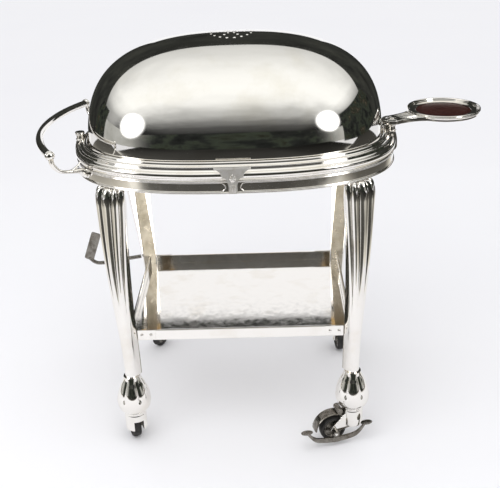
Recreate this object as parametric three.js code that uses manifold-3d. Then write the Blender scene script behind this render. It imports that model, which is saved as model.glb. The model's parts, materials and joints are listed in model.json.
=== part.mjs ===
// A carving trolley: an oval roll-top meat cover over a heated carving table, on four reeded legs
// with a lower shelf and castors. Millimetres, +Z up, +X to the plate stand's end, +Y to the back.
// The origin is on the floor, below the middle of the table.

import * as THREE from 'three';
import { mergeVertices } from 'three/addons/utils/BufferGeometryUtils.js';
import Module from 'manifold-3d';

// ---------------------------------------------------------------- driving dimensions

const GAP = 0.3; // between pieces that touch
const RUNNING = 0.06; // radial clearance of a pin in its bore
const ROUND_SIDES = 16; // facets of a turned piece

// Roll cover: half a body of revolution about a hinge line along X
const PIVOT_Z = 841;
const COVER_RADIUS = 273;
const COVER_HALF_LENGTH = 401;
const COVER_SQUARENESS = 2.6; // exponent of its outline, 2 would be an ellipse
const COVER_WALL = 2.5;
const VENT_RADIUS = 2.4;
const VENT_RINGS = [[0, 1], [16, 6], [35, 6], [56, 18]]; // radius and count of each ring round the crown
const EAR_RADIUS = 24;
const EAR_THICKNESS = 5;
const PIN_RADIUS = 4.5;
const PIN_LENGTH = 54;

// Rim: an oval band that follows the cover's outline
const RIM_CLEARANCE = 4; // between the cover and the rim
const RIM_WIDTH = 29; // from there out to the face of the apron
const APRON_BOTTOM_Z = 770;
const APRON_HEIGHT = 36;
const APRON_WALL = 3;
const MOULDING_HEIGHT = 40;
const WIRE_RADIUS = 2.8;
const TORUS_RADIUS = 7.5;
const RIM_STEPS = 48;

// Keystone plaques at the middle of the front and the back
const KEYSTONE_TOP_WIDTH = 92;
const KEYSTONE_NECK_WIDTH = 50;
const KEYSTONE_FOOT_WIDTH = 21;
const KEYSTONE_THICKNESS = 6;

// End posts, with the plate stand on the right one
const POST_OFFSET = 32; // outside the end of the cover
const POST_RADIUS = 11.5;
const POST_CAP_RADIUS = 13.3;
const POST_TOP_Z = 852;
const POST_FOOT_WIDTH = 24;

// Legs, feet and castors
const LEG_INSET_X = 92; // from the cover's end in to a leg's middle
const LEG_INSET_Y = 15; // from the cover's side in to a leg's middle
const LEG_X = COVER_HALF_LENGTH - LEG_INSET_X;
const LEG_Y = COVER_RADIUS - LEG_INSET_Y;
const LEG_TURN_DEG = 26; // each leg faces outwards to its corner
const LEG_LEAN_Y = 28; // how far the leg sweeps out to the front or back from the table to the shelf
const LEG_LEAN_X = 16; // how far its knee stands out to the side of its ankle
const KNEE_HALF_WIDTH = 49.5;
const ANKLE_HALF_WIDTH = 20;
const LEG_DEPTH = 45;
const ANKLE_DEPTH = 37;
const REED_DEPTH = 0.13; // depth of the grooves, as a share of the section
const LEG_BACK_THICKNESS = 3;
const LEG_BACK_TOP_WIDTH = 28;
const LEG_BACK_FOOT_WIDTH = 40;
const BULB_RADIUS = 48;
const BULB_BOTTOM_Z = 108;
const BULB_HEIGHT = 111;
const STEM_RADIUS = 8;
const STEM_LENGTH = 11;

// Shelf between the legs
const SHELF_TOP_Z = 327;
const SHELF_THICKNESS = 3;
const SHELF_RAIL_HEIGHT = 28;
const SHELF_RAIL_THICKNESS = 8;
const SHELF_RAIL_Y = LEG_Y - 8; // outer faces of the front and rear rails
const SHELF_RAIL_X = LEG_X - 1; // outer faces of the side rails
const SLEEVE_LENGTH = 50;
const SLEEVE_WALL = 1.6;

// Table inside the cover
const PAN_END_CLEARANCE = 23; // from the cover's end to the pan's
const PAN_SIDE_CLEARANCE = 17; // from the cover's side to the pan's
const PAN_HALF_LENGTH = COVER_HALF_LENGTH - PAN_END_CLEARANCE;
const PAN_HALF_WIDTH = COVER_RADIUS - PAN_SIDE_CLEARANCE;
const PAN_DEPTH = 52;
const PAN_WALL = 2;
const PAN_TOP_Z = 834;
const PLATE_THICKNESS = 5;
const WELL_INSET = 116; // from the pan's end in to a well's middle
const WELL_X = PAN_HALF_LENGTH - WELL_INSET;
const WELL_RADIUS = 52;
const WELL_DEPTH = 34;
const LID_HEIGHT = 26;
const KNOB_RADIUS = 9;

// Spirit burners below the pan
const BURNER_X = 110;
const BURNER_RADIUS = 46;
const BURNER_HEIGHT = 38;
const CRADLE_DROP = 76; // below the pan
const CRADLE_LENGTH = 420;
const CRADLE_WIDTH = 124;
const STRAP_WIDTH = 16;

// Push handle at the left end
const GRIP_RADIUS = 10.5;
const GRIP_Z = 866;
const GRIP_REACH = 130; // from the cover's end out to the grip's middle
const GRIP_MIDDLE_X = COVER_HALF_LENGTH + GRIP_REACH;
const GRIP_BOW_RADIUS = 490;
const GRIP_END_Y = 250;
const FERRULE_RADIUS = 12.5;
const FERRULE_LENGTH = 15;
const BRACKET_RADIUS = 6.5;
const BRACKET_FLARE_RADIUS = 12;
const BRACKET_ROOT_Y = 180;
const BRACKET_RISE = 18; // how far its scroll runs above its root

// Plate stand at the right end
const STAND_REACH = 176;
const STAND_REST_DEG = 27;
const STAND_RING_RADIUS = 103;
const STAND_RING_WALL = 13;
const STAND_RING_HEIGHT = 12;
const STAND_PLATE_THICKNESS = 6;
const STAND_ARM_THICKNESS = 12;
const STAND_EYE_RADIUS = 29;
const STAND_SCREW_RADIUS = 5;
const INLAY_THICKNESS = 2.5;

// Castors
const WHEEL_RADIUS = 38;
const WHEEL_WIDTH = 24;
const TYRE_THICKNESS = 10.5;
const AXLE_RADIUS = 4;
const FORK_CUP_RADIUS = 31;
const FORK_CUP_HEIGHT = 60;
const FORK_CHEEK = 5;
const PLAIN_TRAIL = 28;
const BRAKED_TRAIL = 59;
const HOOD_RADIUS = 53;
const HOOD_THICKNESS = 2.5;
const HOOD_WIDTH = 36;
const HOOD_BOLT_RADIUS = 9;
const BRAKE_REACH = 88; // from the axle to the middle of each pedal
const BRAKE_BAR_THICKNESS = 6;
const BRAKE_SAG = 25; // how far the bar's middle hangs below the axle
const BRAKE_PEDAL_RISE = 27; // how far its pedals stand above the axle
const BRAKE_PEDAL_RADIUS = 17;
const BRAKE_PEDAL_OFFSET = 8; // outside the bar's inner face

const CASTORS = [
  { name: 'front_left', x: -LEG_X, y: -LEG_Y, trail: PLAIN_TRAIL, headingDeg: 114, braked: false },
  { name: 'front_right', x: LEG_X, y: -LEG_Y, trail: BRAKED_TRAIL, headingDeg: 195, braked: true },
  { name: 'rear_left', x: -LEG_X, y: LEG_Y, trail: PLAIN_TRAIL, headingDeg: 66, braked: false },
  { name: 'rear_right', x: LEG_X, y: LEG_Y, trail: PLAIN_TRAIL, headingDeg: 278, braked: false },
];

// Side rest: a small arm with a paddle, outside the rear left leg
const REST_REACH = 142;
const REST_DROP = 20;
const REST_ARM_RADIUS = 6;
const REST_PADDLE_WIDTH = 31;
const REST_PADDLE_LENGTH = 92;
const REST_PADDLE_THICKNESS = 4;
const REST_TILT_DEG = 20;

// ---------------------------------------------------------------- materials

const silver = (shade = 0xd9d7d0, roughness = 0.12) =>
  new THREE.MeshStandardMaterial({ color: shade, roughness, metalness: 1 });

const SILVER = silver();
const WORN_SILVER = silver(0xb5ac94, 0.3);
const STEEL = silver(0x8d8880, 0.35);
const BRASS = silver(0xb8974f, 0.3);
const RUBBER = new THREE.MeshStandardMaterial({ color: 0x1d1c1b, roughness: 0.8 });
const INLAY = new THREE.MeshStandardMaterial({ color: 0x4a1f19, roughness: 0.35 });

// ---------------------------------------------------------------- solids

const wasm = await Module();
wasm.setup();

const radians = (degrees) => (degrees * Math.PI) / 180;

/** Radius of a faceted bore whose flats still clear a pin. */
const bored = (pinRadius) => (pinRadius + RUNNING) / Math.cos(Math.PI / ROUND_SIDES);

/** Turns a mesh the right way out if its volume is negative. */
function faceOut(geometry) {
  const p = geometry.attributes.position;
  const index = geometry.index.array;
  const [a, b, c] = [new THREE.Vector3(), new THREE.Vector3(), new THREE.Vector3()];
  let volume = 0;
  for (let i = 0; i < index.length; i += 3) {
    a.fromBufferAttribute(p, index[i]);
    b.fromBufferAttribute(p, index[i + 1]);
    c.fromBufferAttribute(p, index[i + 2]);
    volume += a.dot(b.cross(c));
  }
  if (volume < 0) {
    for (let i = 0; i < index.length; i += 3) [index[i], index[i + 1]] = [index[i + 1], index[i]];
  }
  return geometry;
}

function meshOf(points, triangles) {
  const geometry = new THREE.BufferGeometry();
  geometry.setAttribute('position', new THREE.Float32BufferAttribute(points.flatMap((p) => p.toArray()), 3));
  geometry.setIndex(triangles);
  return faceOut(geometry);
}

/** Keeps only position and merges the vertices that meet, so that the solid is closed. */
function welded(geometry) {
  const bare = geometry.clone();
  bare.deleteAttribute('normal');
  bare.deleteAttribute('uv');
  return faceOut(mergeVertices(bare, 1e-4));
}

const toManifold = (geometry) => {
  const solid = welded(geometry);
  return new wasm.Manifold(
    new wasm.Mesh({
      numProp: 3,
      vertProperties: new Float32Array(solid.attributes.position.array),
      triVerts: new Uint32Array(solid.index.array),
    }),
  );
};

function fromManifold(manifold) {
  const mesh = manifold.getMesh();
  const geometry = new THREE.BufferGeometry();
  geometry.setAttribute('position', new THREE.Float32BufferAttribute(mesh.vertProperties, 3));
  geometry.setIndex(Array.from(mesh.triVerts));
  return geometry;
}

const joined = (first, ...others) =>
  fromManifold(others.reduce((sum, other) => sum.add(toManifold(other)), toManifold(first)));

const cut = (body, ...tools) =>
  fromManifold(tools.reduce((rest, tool) => rest.subtract(toManifold(tool)), toManifold(body)));

const box = (x0, x1, y0, y1, z0, z1) =>
  new THREE.BoxGeometry(x1 - x0, y1 - y0, z1 - z0).translate((x0 + x1) / 2, (y0 + y1) / 2, (z0 + z1) / 2);

/** An upright solid of revolution from [radius, height] pairs. */
function turned(profile, sides = ROUND_SIDES) {
  const lathe = new THREE.LatheGeometry(profile.map(([r, z]) => new THREE.Vector2(r, z)), sides);
  return welded(lathe.rotateX(Math.PI / 2));
}

/** A ring of revolution: the profile closes on itself. */
const turnedRing = (profile, sides = ROUND_SIDES) => turned([...profile, profile[0]], sides);

const upright = (radius, z0, z1, sides = ROUND_SIDES) =>
  turned([[0, z0], [radius, z0], [radius, z1], [0, z1]], sides);

const alongX = (radius, x0, x1, sides = ROUND_SIDES) => upright(radius, x0, x1, sides).rotateY(Math.PI / 2);

const alongY = (radius, y0, y1, sides = ROUND_SIDES) => upright(radius, -y1, -y0, sides).rotateX(Math.PI / 2);

/** A flat outline in X and Y, raised from z0 to z1. */
function slab(flat, z0, z1) {
  const shape =
    flat instanceof THREE.Shape ? flat : new THREE.Shape(flat.map(([x, y]) => new THREE.Vector2(x, y)));
  const solid = new THREE.ExtrudeGeometry(shape, { depth: z1 - z0, bevelEnabled: false, curveSegments: 10 });
  return welded(solid.translate(0, 0, z0));
}

/** An outline in X and Z, given thickness along Y. */
const upended = (flat, y0, y1) => slab(flat, -y1, -y0).rotateX(Math.PI / 2);

/** Skins a list of rings of equal count; the ends are closed by a fan, or the last ring meets the first. */
function skinned(rings, meetsItself = false) {
  const count = rings[0].length;
  const points = rings.flat();
  const triangles = [];
  const spans = meetsItself ? rings.length : rings.length - 1;
  for (let i = 0; i < spans; i += 1) {
    const [here, next] = [i * count, ((i + 1) % rings.length) * count];
    for (let j = 0; j < count; j += 1) {
      const k = (j + 1) % count;
      triangles.push(here + j, here + k, next + k, here + j, next + k, next + j);
    }
  }
  if (!meetsItself) {
    for (const [ring, turnedOver] of [[0, true], [rings.length - 1, false]]) {
      const middle = rings[ring].reduce((sum, p) => sum.add(p), new THREE.Vector3()).divideScalar(count);
      points.push(middle);
      for (let j = 0; j < count; j += 1) {
        const edge = [ring * count + j, ring * count + ((j + 1) % count)];
        if (turnedOver) edge.reverse();
        triangles.push(points.length - 1, ...edge);
      }
    }
  }
  return meshOf(points, triangles);
}

/** A round bar along a curve; radiusAt takes 0 to 1 along it. */
function bar(curve, radiusAt, steps, sides = 12) {
  const { normals, binormals } = curve.computeFrenetFrames(steps, false);
  const rings = [];
  for (let i = 0; i <= steps; i += 1) {
    const centre = curve.getPointAt(i / steps);
    const radius = radiusAt(i / steps);
    rings.push(
      Array.from({ length: sides }, (_, j) => {
        const angle = (2 * Math.PI * j) / sides;
        return centre
          .clone()
          .addScaledVector(normals[i], radius * Math.cos(angle))
          .addScaledVector(binormals[i], radius * Math.sin(angle));
      }),
    );
  }
  return skinned(rings);
}

// ---------------------------------------------------------------- the oval that cover and rim share

/** A squared oval's point at a parameter angle. */
function ovalPoint(halfLength, halfWidth, angle) {
  const power = 2 / COVER_SQUARENESS;
  const [c, s] = [Math.cos(angle), Math.sin(angle)];
  return new THREE.Vector2(
    halfLength * Math.sign(c) * Math.abs(c) ** power,
    halfWidth * Math.sign(s) * Math.abs(s) ** power,
  );
}

/** Evenly spaced points on the cover's outline, each with its outward normal. */
function outline(count, halfLength = COVER_HALF_LENGTH, halfWidth = COVER_RADIUS) {
  const samples = 2880;
  const fine = Array.from({ length: samples + 1 }, (_, i) =>
    ovalPoint(halfLength, halfWidth, (2 * Math.PI * i) / samples),
  );
  const lengths = [0];
  for (let i = 1; i <= samples; i += 1) lengths.push(lengths[i - 1] + fine[i].distanceTo(fine[i - 1]));
  const stations = [];
  for (let k = 0, i = 0; k < count; k += 1) {
    while (lengths[i] < (lengths[samples] * k) / count) i += 1;
    const point = fine[i];
    const power = COVER_SQUARENESS - 1;
    const grow = (value, half) => (Math.sign(value) * Math.abs(value / half) ** power) / half;
    const normal = new THREE.Vector2(grow(point.x, halfLength), grow(point.y, halfWidth)).normalize();
    stations.push({ point, normal });
  }
  return stations;
}

/** A point at an offset outside a station of the cover's outline. */
const rimPoint = ({ point, normal }, offset, z) =>
  new THREE.Vector3(point.x + normal.x * offset, point.y + normal.y * offset, z);

/** A band round the cover from an [offset, height] profile. */
const rimBand = (profile) =>
  skinned(
    outline(RIM_STEPS).map((station) => profile.map(([offset, z]) => rimPoint(station, offset, z))),
    true,
  );

const APRON_FACE = RIM_CLEARANCE + RIM_WIDTH;
const APRON_TOP_Z = APRON_BOTTOM_Z + APRON_HEIGHT;
const POST_X = COVER_HALF_LENGTH + POST_OFFSET;

// ---------------------------------------------------------------- roll cover

/** Half a shell of revolution, standing on its two straight edges. */
function coverShell() {
  const [stations, arcs] = [18, 16];
  const skin = (halfLength, radius) => {
    const rows = [];
    for (let i = 1; i < stations; i += 1) {
      const p = ovalPoint(halfLength, radius, Math.PI * (1 - i / stations));
      rows.push(
        Array.from({ length: arcs + 1 }, (_, j) => {
          const angle = (Math.PI * j) / arcs;
          return new THREE.Vector3(p.x, -p.y * Math.cos(angle), PIVOT_Z + p.y * Math.sin(angle));
        }),
      );
    }
    return rows;
  };
  const outer = skin(COVER_HALF_LENGTH, COVER_RADIUS);
  const inner = skin(COVER_HALF_LENGTH - COVER_WALL, COVER_RADIUS - COVER_WALL);
  const points = [...outer.flat(), ...inner.flat()];
  const row = arcs + 1;
  const innerStart = outer.length * row;
  const poles = [-1, 1].map((side) =>
    [COVER_HALF_LENGTH, COVER_HALF_LENGTH - COVER_WALL].map((half) => {
      points.push(new THREE.Vector3(side * half, 0, PIVOT_Z));
      return points.length - 1;
    }),
  );
  const triangles = [];
  const quad = (a, b, c, d) => triangles.push(a, b, c, a, c, d);
  const at = (start, i, j) => start + i * row + j;
  const last = outer.length - 1;
  for (let i = 0; i < last; i += 1) {
    for (let j = 0; j < arcs; j += 1) {
      quad(at(0, i, j), at(0, i + 1, j), at(0, i + 1, j + 1), at(0, i, j + 1));
      const [near, far] = [at(innerStart, i, j), at(innerStart, i + 1, j)];
      quad(near, near + 1, far + 1, far);
    }
    quad(at(0, i, 0), at(innerStart, i, 0), at(innerStart, i + 1, 0), at(0, i + 1, 0));
    quad(at(0, i, arcs), at(0, i + 1, arcs), at(innerStart, i + 1, arcs), at(innerStart, i, arcs));
  }
  for (let j = 0; j < arcs; j += 1) {
    triangles.push(poles[0][0], at(0, 0, j), at(0, 0, j + 1));
    triangles.push(poles[0][1], at(innerStart, 0, j + 1), at(innerStart, 0, j));
    triangles.push(poles[1][0], at(0, last, j + 1), at(0, last, j));
    triangles.push(poles[1][1], at(innerStart, last, j), at(innerStart, last, j + 1));
  }
  quad(poles[0][0], poles[0][1], at(innerStart, 0, 0), at(0, 0, 0));
  quad(poles[0][1], poles[0][0], at(0, 0, arcs), at(innerStart, 0, arcs));
  quad(poles[1][1], poles[1][0], at(0, last, 0), at(innerStart, last, 0));
  quad(poles[1][0], poles[1][1], at(innerStart, last, arcs), at(0, last, arcs));
  return meshOf(points, triangles);
}

function rollCover() {
  const crown = PIVOT_Z + COVER_RADIUS;
  const vents = VENT_RINGS.flatMap(([radius, count]) =>
    Array.from({ length: count }, (_, i) => {
      const turn = (2 * Math.PI * (i + 0.5)) / count;
      const [x, y] = [radius * Math.sin(turn), radius * Math.cos(turn)];
      return upright(VENT_RADIUS, crown - 6 * COVER_WALL, crown + COVER_WALL, 6).translate(x, y, 0);
    }),
  );
  const reach = COVER_HALF_LENGTH + COVER_WALL;
  const pinHole = alongX(PIN_RADIUS + COVER_WALL, -reach, reach).translate(0, 0, PIVOT_Z);
  return cut(coverShell(), pinHole, ...vents);
}

/** A trunnion disc inside one end of the cover. */
function coverEar(side) {
  const outerFace = COVER_HALF_LENGTH - COVER_WALL - 1.7; // just inside the end's slight cone
  const disc = alongX(EAR_RADIUS, outerFace - EAR_THICKNESS, outerFace);
  const bore = alongX(bored(PIN_RADIUS), outerFace - 2 * EAR_THICKNESS, outerFace + EAR_THICKNESS);
  return cut(disc, bore).translate(0, 0, PIVOT_Z).scale(side, 1, 1);
}

const PIN_INNER_X = POST_X - PIN_LENGTH;

const pivotPin = () => alongX(PIN_RADIUS, PIN_INNER_X, POST_X - GAP).translate(0, 0, PIVOT_Z);

// ---------------------------------------------------------------- rim

/** The lower band: a flanged sheet with a wire along each edge. */
function rimApron() {
  const face = APRON_FACE;
  const back = face - APRON_WALL;
  const wire = face + WIRE_RADIUS;
  return rimBand([
    [RIM_CLEARANCE + RIM_WIDTH / 4, APRON_BOTTOM_Z],
    [face + WIRE_RADIUS / 2, APRON_BOTTOM_Z],
    [wire, APRON_BOTTOM_Z + WIRE_RADIUS],
    [face, APRON_BOTTOM_Z + 2 * WIRE_RADIUS],
    [face, APRON_TOP_Z - 2 * WIRE_RADIUS],
    [wire, APRON_TOP_Z - WIRE_RADIUS],
    [face, APRON_TOP_Z],
    [back, APRON_TOP_Z],
    [back, APRON_BOTTOM_Z + APRON_WALL],
    [RIM_CLEARANCE + RIM_WIDTH / 4, APRON_BOTTOM_Z + APRON_WALL],
  ]);
}

/** The stepped collar above it, notched for the posts and the pins. */
function rimMoulding() {
  const foot = APRON_TOP_Z + GAP;
  const top = foot + MOULDING_HEIGHT;
  const lip = RIM_CLEARANCE;
  const face = APRON_FACE;
  const torusZ = foot + 1.6 * TORUS_RADIUS;
  const bulge = face + 0.6 * TORUS_RADIUS;
  const band = rimBand([
    [lip, top],
    [lip + 7, top],
    [lip + 11, top - 6],
    [lip + 17, top - 8],
    [lip + 22, top - 15],
    [face, torusZ + TORUS_RADIUS],
    [bulge, torusZ],
    [face, torusZ - TORUS_RADIUS],
    [face, foot],
    [face - 5, foot],
    [face - 13, top - 19],
    [lip, top - 9],
  ]);
  const notchX = POST_X - POST_FOOT_WIDTH / 2 - GAP;
  const notchY = POST_FOOT_WIDTH / 2 + GAP;
  const pinY = PIN_RADIUS + 2;
  const pinZ = PIVOT_Z - PIN_RADIUS - 2 * GAP;
  const notches = [-1, 1].flatMap((side) => [
    box(notchX, POST_X + 3 * POST_FOOT_WIDTH, -notchY, notchY, foot - 1, top + 1).scale(side, 1, 1),
    box(COVER_HALF_LENGTH, POST_X, -pinY, pinY, pinZ, top + 1).scale(side, 1, 1),
  ]);
  return cut(band, ...notches);
}

/** The space that the rim takes up, for pieces that are fitted against its face. */
function rimRoom() {
  const wireFace = APRON_FACE + WIRE_RADIUS + GAP;
  const bulgeFace = APRON_FACE + 0.6 * TORUS_RADIUS + GAP;
  return rimBand([
    [0, APRON_BOTTOM_Z - RIM_WIDTH],
    [wireFace, APRON_BOTTOM_Z - RIM_WIDTH],
    [wireFace, APRON_TOP_Z],
    [bulgeFace, APRON_TOP_Z],
    [bulgeFace, APRON_TOP_Z + MOULDING_HEIGHT],
    [0, APRON_TOP_Z + MOULDING_HEIGHT],
  ]);
}

/** A shield-shaped plaque over the rim's middle, drawn for the front. */
function keystone() {
  const top = APRON_TOP_Z + MOULDING_HEIGHT - 4;
  const halfTop = KEYSTONE_TOP_WIDTH / 2;
  const halfNeck = KEYSTONE_NECK_WIDTH / 2;
  const halfFoot = KEYSTONE_FOOT_WIDTH / 2;
  const right = [
    [halfTop, top],
    [halfTop, top - 4],
    [halfTop * 0.8, top - 8],
    [halfNeck * 1.15, top - 16],
    [halfNeck, top - 22],
    [halfNeck * 0.7, top - 30],
    [halfFoot, top - 38],
    [halfFoot, APRON_BOTTOM_Z + 3],
  ];
  const left = [...right].reverse().map(([x, z]) => [-x, z]);
  const face = -(COVER_RADIUS + APRON_FACE + 0.6 * TORUS_RADIUS + GAP);
  return upended([...right, ...left], face - KEYSTONE_THICKNESS, face);
}

/** An end post: a turned top over a foot that laps the rim. */
function endPost() {
  const half = POST_FOOT_WIDTH / 2;
  const lap = COVER_HALF_LENGTH + APRON_FACE + WIRE_RADIUS + GAP;
  const shoulderZ = PIVOT_Z - PIN_RADIUS - 7;
  const foot = upended(
    [
      [POST_X - half, APRON_TOP_Z + GAP],
      [lap, APRON_TOP_Z + GAP],
      [lap, APRON_BOTTOM_Z + 6],
      [lap + 6, APRON_BOTTOM_Z + 6],
      [lap + 11, APRON_BOTTOM_Z + 20],
      [lap + 11, APRON_TOP_Z + 8],
      [lap + 6, shoulderZ],
      [POST_X - half, shoulderZ],
    ],
    -half,
    half,
  );
  const top = turned([
    [0, shoulderZ - 4],
    [POST_RADIUS, shoulderZ - 4],
    [POST_RADIUS, POST_TOP_Z - 7],
    [POST_CAP_RADIUS, POST_TOP_Z - 4],
    [POST_CAP_RADIUS, POST_TOP_Z],
    [0, POST_TOP_Z],
  ]).translate(POST_X, 0, 0);
  const pinBore = alongX(bored(PIN_RADIUS), POST_X - 2 * POST_RADIUS, POST_X).translate(0, 0, PIVOT_Z);
  return cut(joined(foot, top), pinBore);
}

// ---------------------------------------------------------------- legs, feet and shelf

const LEG_OUT = new THREE.Vector2(Math.sin(radians(LEG_TURN_DEG)), Math.cos(radians(LEG_TURN_DEG)));
const LEG_ACROSS = new THREE.Vector2(LEG_OUT.y, -LEG_OUT.x);
const LEG_TOP_Z = APRON_BOTTOM_Z - GAP;
const ANKLE_Z = BULB_BOTTOM_Z + BULB_HEIGHT + GAP;

const eased = (t) => {
  const u = Math.min(1, Math.max(0, t));
  return u * u * (3 - 2 * u);
};

/** Size and place of a leg's section at a height: t is 0 at the ankle and 1 under the table. */
function legSection(t) {
  const z = ANKLE_Z + t * (LEG_TOP_Z - ANKLE_Z);
  // the shoulder rounds in at the top
  const shoulder = t > 0.96 ? 0.78 + 0.22 * Math.sqrt(Math.max(0, 1 - ((t - 0.96) / 0.04) ** 2)) : 1;
  const taper = eased((t - 0.1) / 1.05) * 1.04 - 0.02 * t;
  const halfWidth = (ANKLE_HALF_WIDTH + (KNEE_HALF_WIDTH - ANKLE_HALF_WIDTH) * Math.min(1, taper)) * shoulder;
  const depth = (ANKLE_DEPTH + (LEG_DEPTH - ANKLE_DEPTH) * eased(t / 0.6)) * shoulder;
  const ankleBack = new THREE.Vector2(LEG_X, LEG_Y).addScaledVector(LEG_OUT, -ANKLE_DEPTH / 2);
  const back = new THREE.Vector2(
    ankleBack.x + LEG_LEAN_X * eased(t / 0.8) - (1 - shoulder) * LEG_LEAN_X,
    ankleBack.y - LEG_LEAN_Y * eased((t - 0.2) / 0.75),
  );
  return { z, halfWidth, depth, back };
}

/** The reeded front of a leg: a flat back and five rounded reeds that fade towards the ankle. */
function legShell(sideX, sideY, grow = 0) {
  const heights = [0, 0.12, 0.28, 0.46, 0.64, 0.8, 0.9, 0.96, 1];
  const steps = 20;
  const rings = heights.map((t) => {
    const { z, halfWidth, depth, back } = legSection(t);
    const reeding = REED_DEPTH * eased((t - 0.02) / 0.5);
    return Array.from({ length: steps + 1 }, (_, i) => {
      const angle = Math.PI * (i / steps - 0.5);
      const reed = 1 - reeding * (1 - Math.abs(Math.cos(5 * angle)));
      const sine = Math.sin(angle);
      const across = (halfWidth + grow) * Math.sign(sine) * Math.abs(sine) ** 0.85 * reed;
      const out = (depth + grow) * Math.abs(Math.cos(angle)) ** 0.7 * reed;
      const p = back.clone().addScaledVector(LEG_ACROSS, across).addScaledVector(LEG_OUT, out);
      return new THREE.Vector3(sideX * p.x, sideY * p.y, z);
    });
  });
  return skinned(rings);
}

/** The flat strip that closes a leg's back. */
function legBack(sideX, sideY) {
  const heights = [0, 0.12, 0.28, 0.46, 0.64, 0.8, 0.9, 0.96];
  const rings = heights.map((t) => {
    const { z, back } = legSection(t);
    const narrowing = (LEG_BACK_FOOT_WIDTH - LEG_BACK_TOP_WIDTH) * eased((t - 0.3) / 0.6);
    const halfWidth = (LEG_BACK_FOOT_WIDTH - narrowing) / 2;
    const corners = [
      [-1, GAP],
      [1, GAP],
      [1, GAP + LEG_BACK_THICKNESS],
      [-1, GAP + LEG_BACK_THICKNESS],
    ];
    return corners.map(([across, inwards]) => {
      const p = back
        .clone()
        .addScaledVector(LEG_ACROSS, across * halfWidth)
        .addScaledVector(LEG_OUT, -inwards);
      return new THREE.Vector3(sideX * p.x, sideY * p.y, z);
    });
  });
  return skinned(rings);
}

function bulbFoot() {
  const height = (share) => BULB_BOTTOM_Z + share * BULB_HEIGHT;
  return turned(
    [
      [0, BULB_BOTTOM_Z - STEM_LENGTH],
      [STEM_RADIUS, BULB_BOTTOM_Z - STEM_LENGTH],
      [STEM_RADIUS, BULB_BOTTOM_Z],
      [0.54 * BULB_RADIUS, BULB_BOTTOM_Z],
      [0.8 * BULB_RADIUS, height(0.11)],
      [0.97 * BULB_RADIUS, height(0.28)],
      [BULB_RADIUS, height(0.44)],
      [0.93 * BULB_RADIUS, height(0.62)],
      [0.68 * BULB_RADIUS, height(0.83)],
      [ANKLE_HALF_WIDTH, BULB_BOTTOM_Z + BULB_HEIGHT],
      [0, BULB_BOTTOM_Z + BULB_HEIGHT],
    ],
    ROUND_SIDES,
  );
}

/** Half lengths to which the shelf's pieces reach before they meet a leg. */
const SHELF_SHARE = (SHELF_TOP_Z - ANKLE_Z) / (LEG_TOP_Z - ANKLE_Z);
const SHELF_BACK = legSection(SHELF_SHARE).back;
const STRIP_FACE = GAP + LEG_BACK_THICKNESS + GAP;
const STRIP_CORNER_X = SHELF_BACK.x - (LEG_BACK_FOOT_WIDTH / 2) * LEG_ACROSS.x - STRIP_FACE * LEG_OUT.x;

/** How far back a piece may reach at a distance x before it meets the strip of a leg. */
const stripY = (x) => SHELF_BACK.y - (STRIP_FACE + (x - SHELF_BACK.x) * LEG_OUT.x) / LEG_OUT.y;

function shelfPlate() {
  const x = SHELF_RAIL_X - SHELF_RAIL_THICKNESS - GAP;
  const y = SHELF_RAIL_Y - SHELF_RAIL_THICKNESS - GAP;
  const cornerY = stripY(x);
  const cornerX = SHELF_BACK.x + ((SHELF_BACK.y - y) * LEG_OUT.y - STRIP_FACE) / LEG_OUT.x;
  const quarter = [[x, cornerY], [cornerX, y]];
  const outlinePoints = [
    ...quarter,
    ...[...quarter].reverse().map(([px, py]) => [-px, py]),
    ...quarter.map(([px, py]) => [-px, -py]),
    ...[...quarter].reverse().map(([px, py]) => [px, -py]),
  ];
  return slab(outlinePoints, SHELF_TOP_Z - SHELF_THICKNESS, SHELF_TOP_Z);
}

/** The long rail of the shelf's front or back, thicker outside and on top at its two end sleeves. */
function longRail() {
  const half = STRIP_CORNER_X - GAP;
  const [inner, outer] = [SHELF_RAIL_Y - SHELF_RAIL_THICKNESS, SHELF_RAIL_Y];
  const [bottom, top] = [SHELF_TOP_Z - SHELF_THICKNESS, SHELF_TOP_Z + SHELF_RAIL_HEIGHT];
  const rail = box(-half, half, inner, outer, bottom, top);
  const sleeves = [-1, 1].map((side) =>
    box(half - SLEEVE_LENGTH, half, inner, outer + SLEEVE_WALL, SHELF_TOP_Z + GAP, top + SLEEVE_WALL).scale(
      side,
      1,
      1,
    ),
  );
  return joined(rail, ...sleeves.map(welded));
}

function sideRail() {
  const half = stripY(SHELF_RAIL_X) - GAP;
  const inner = SHELF_RAIL_X - SHELF_RAIL_THICKNESS;
  const bottom = SHELF_TOP_Z - SHELF_THICKNESS;
  return box(inner, SHELF_RAIL_X, -half, half, bottom, SHELF_TOP_Z + SHELF_RAIL_HEIGHT);
}

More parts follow.
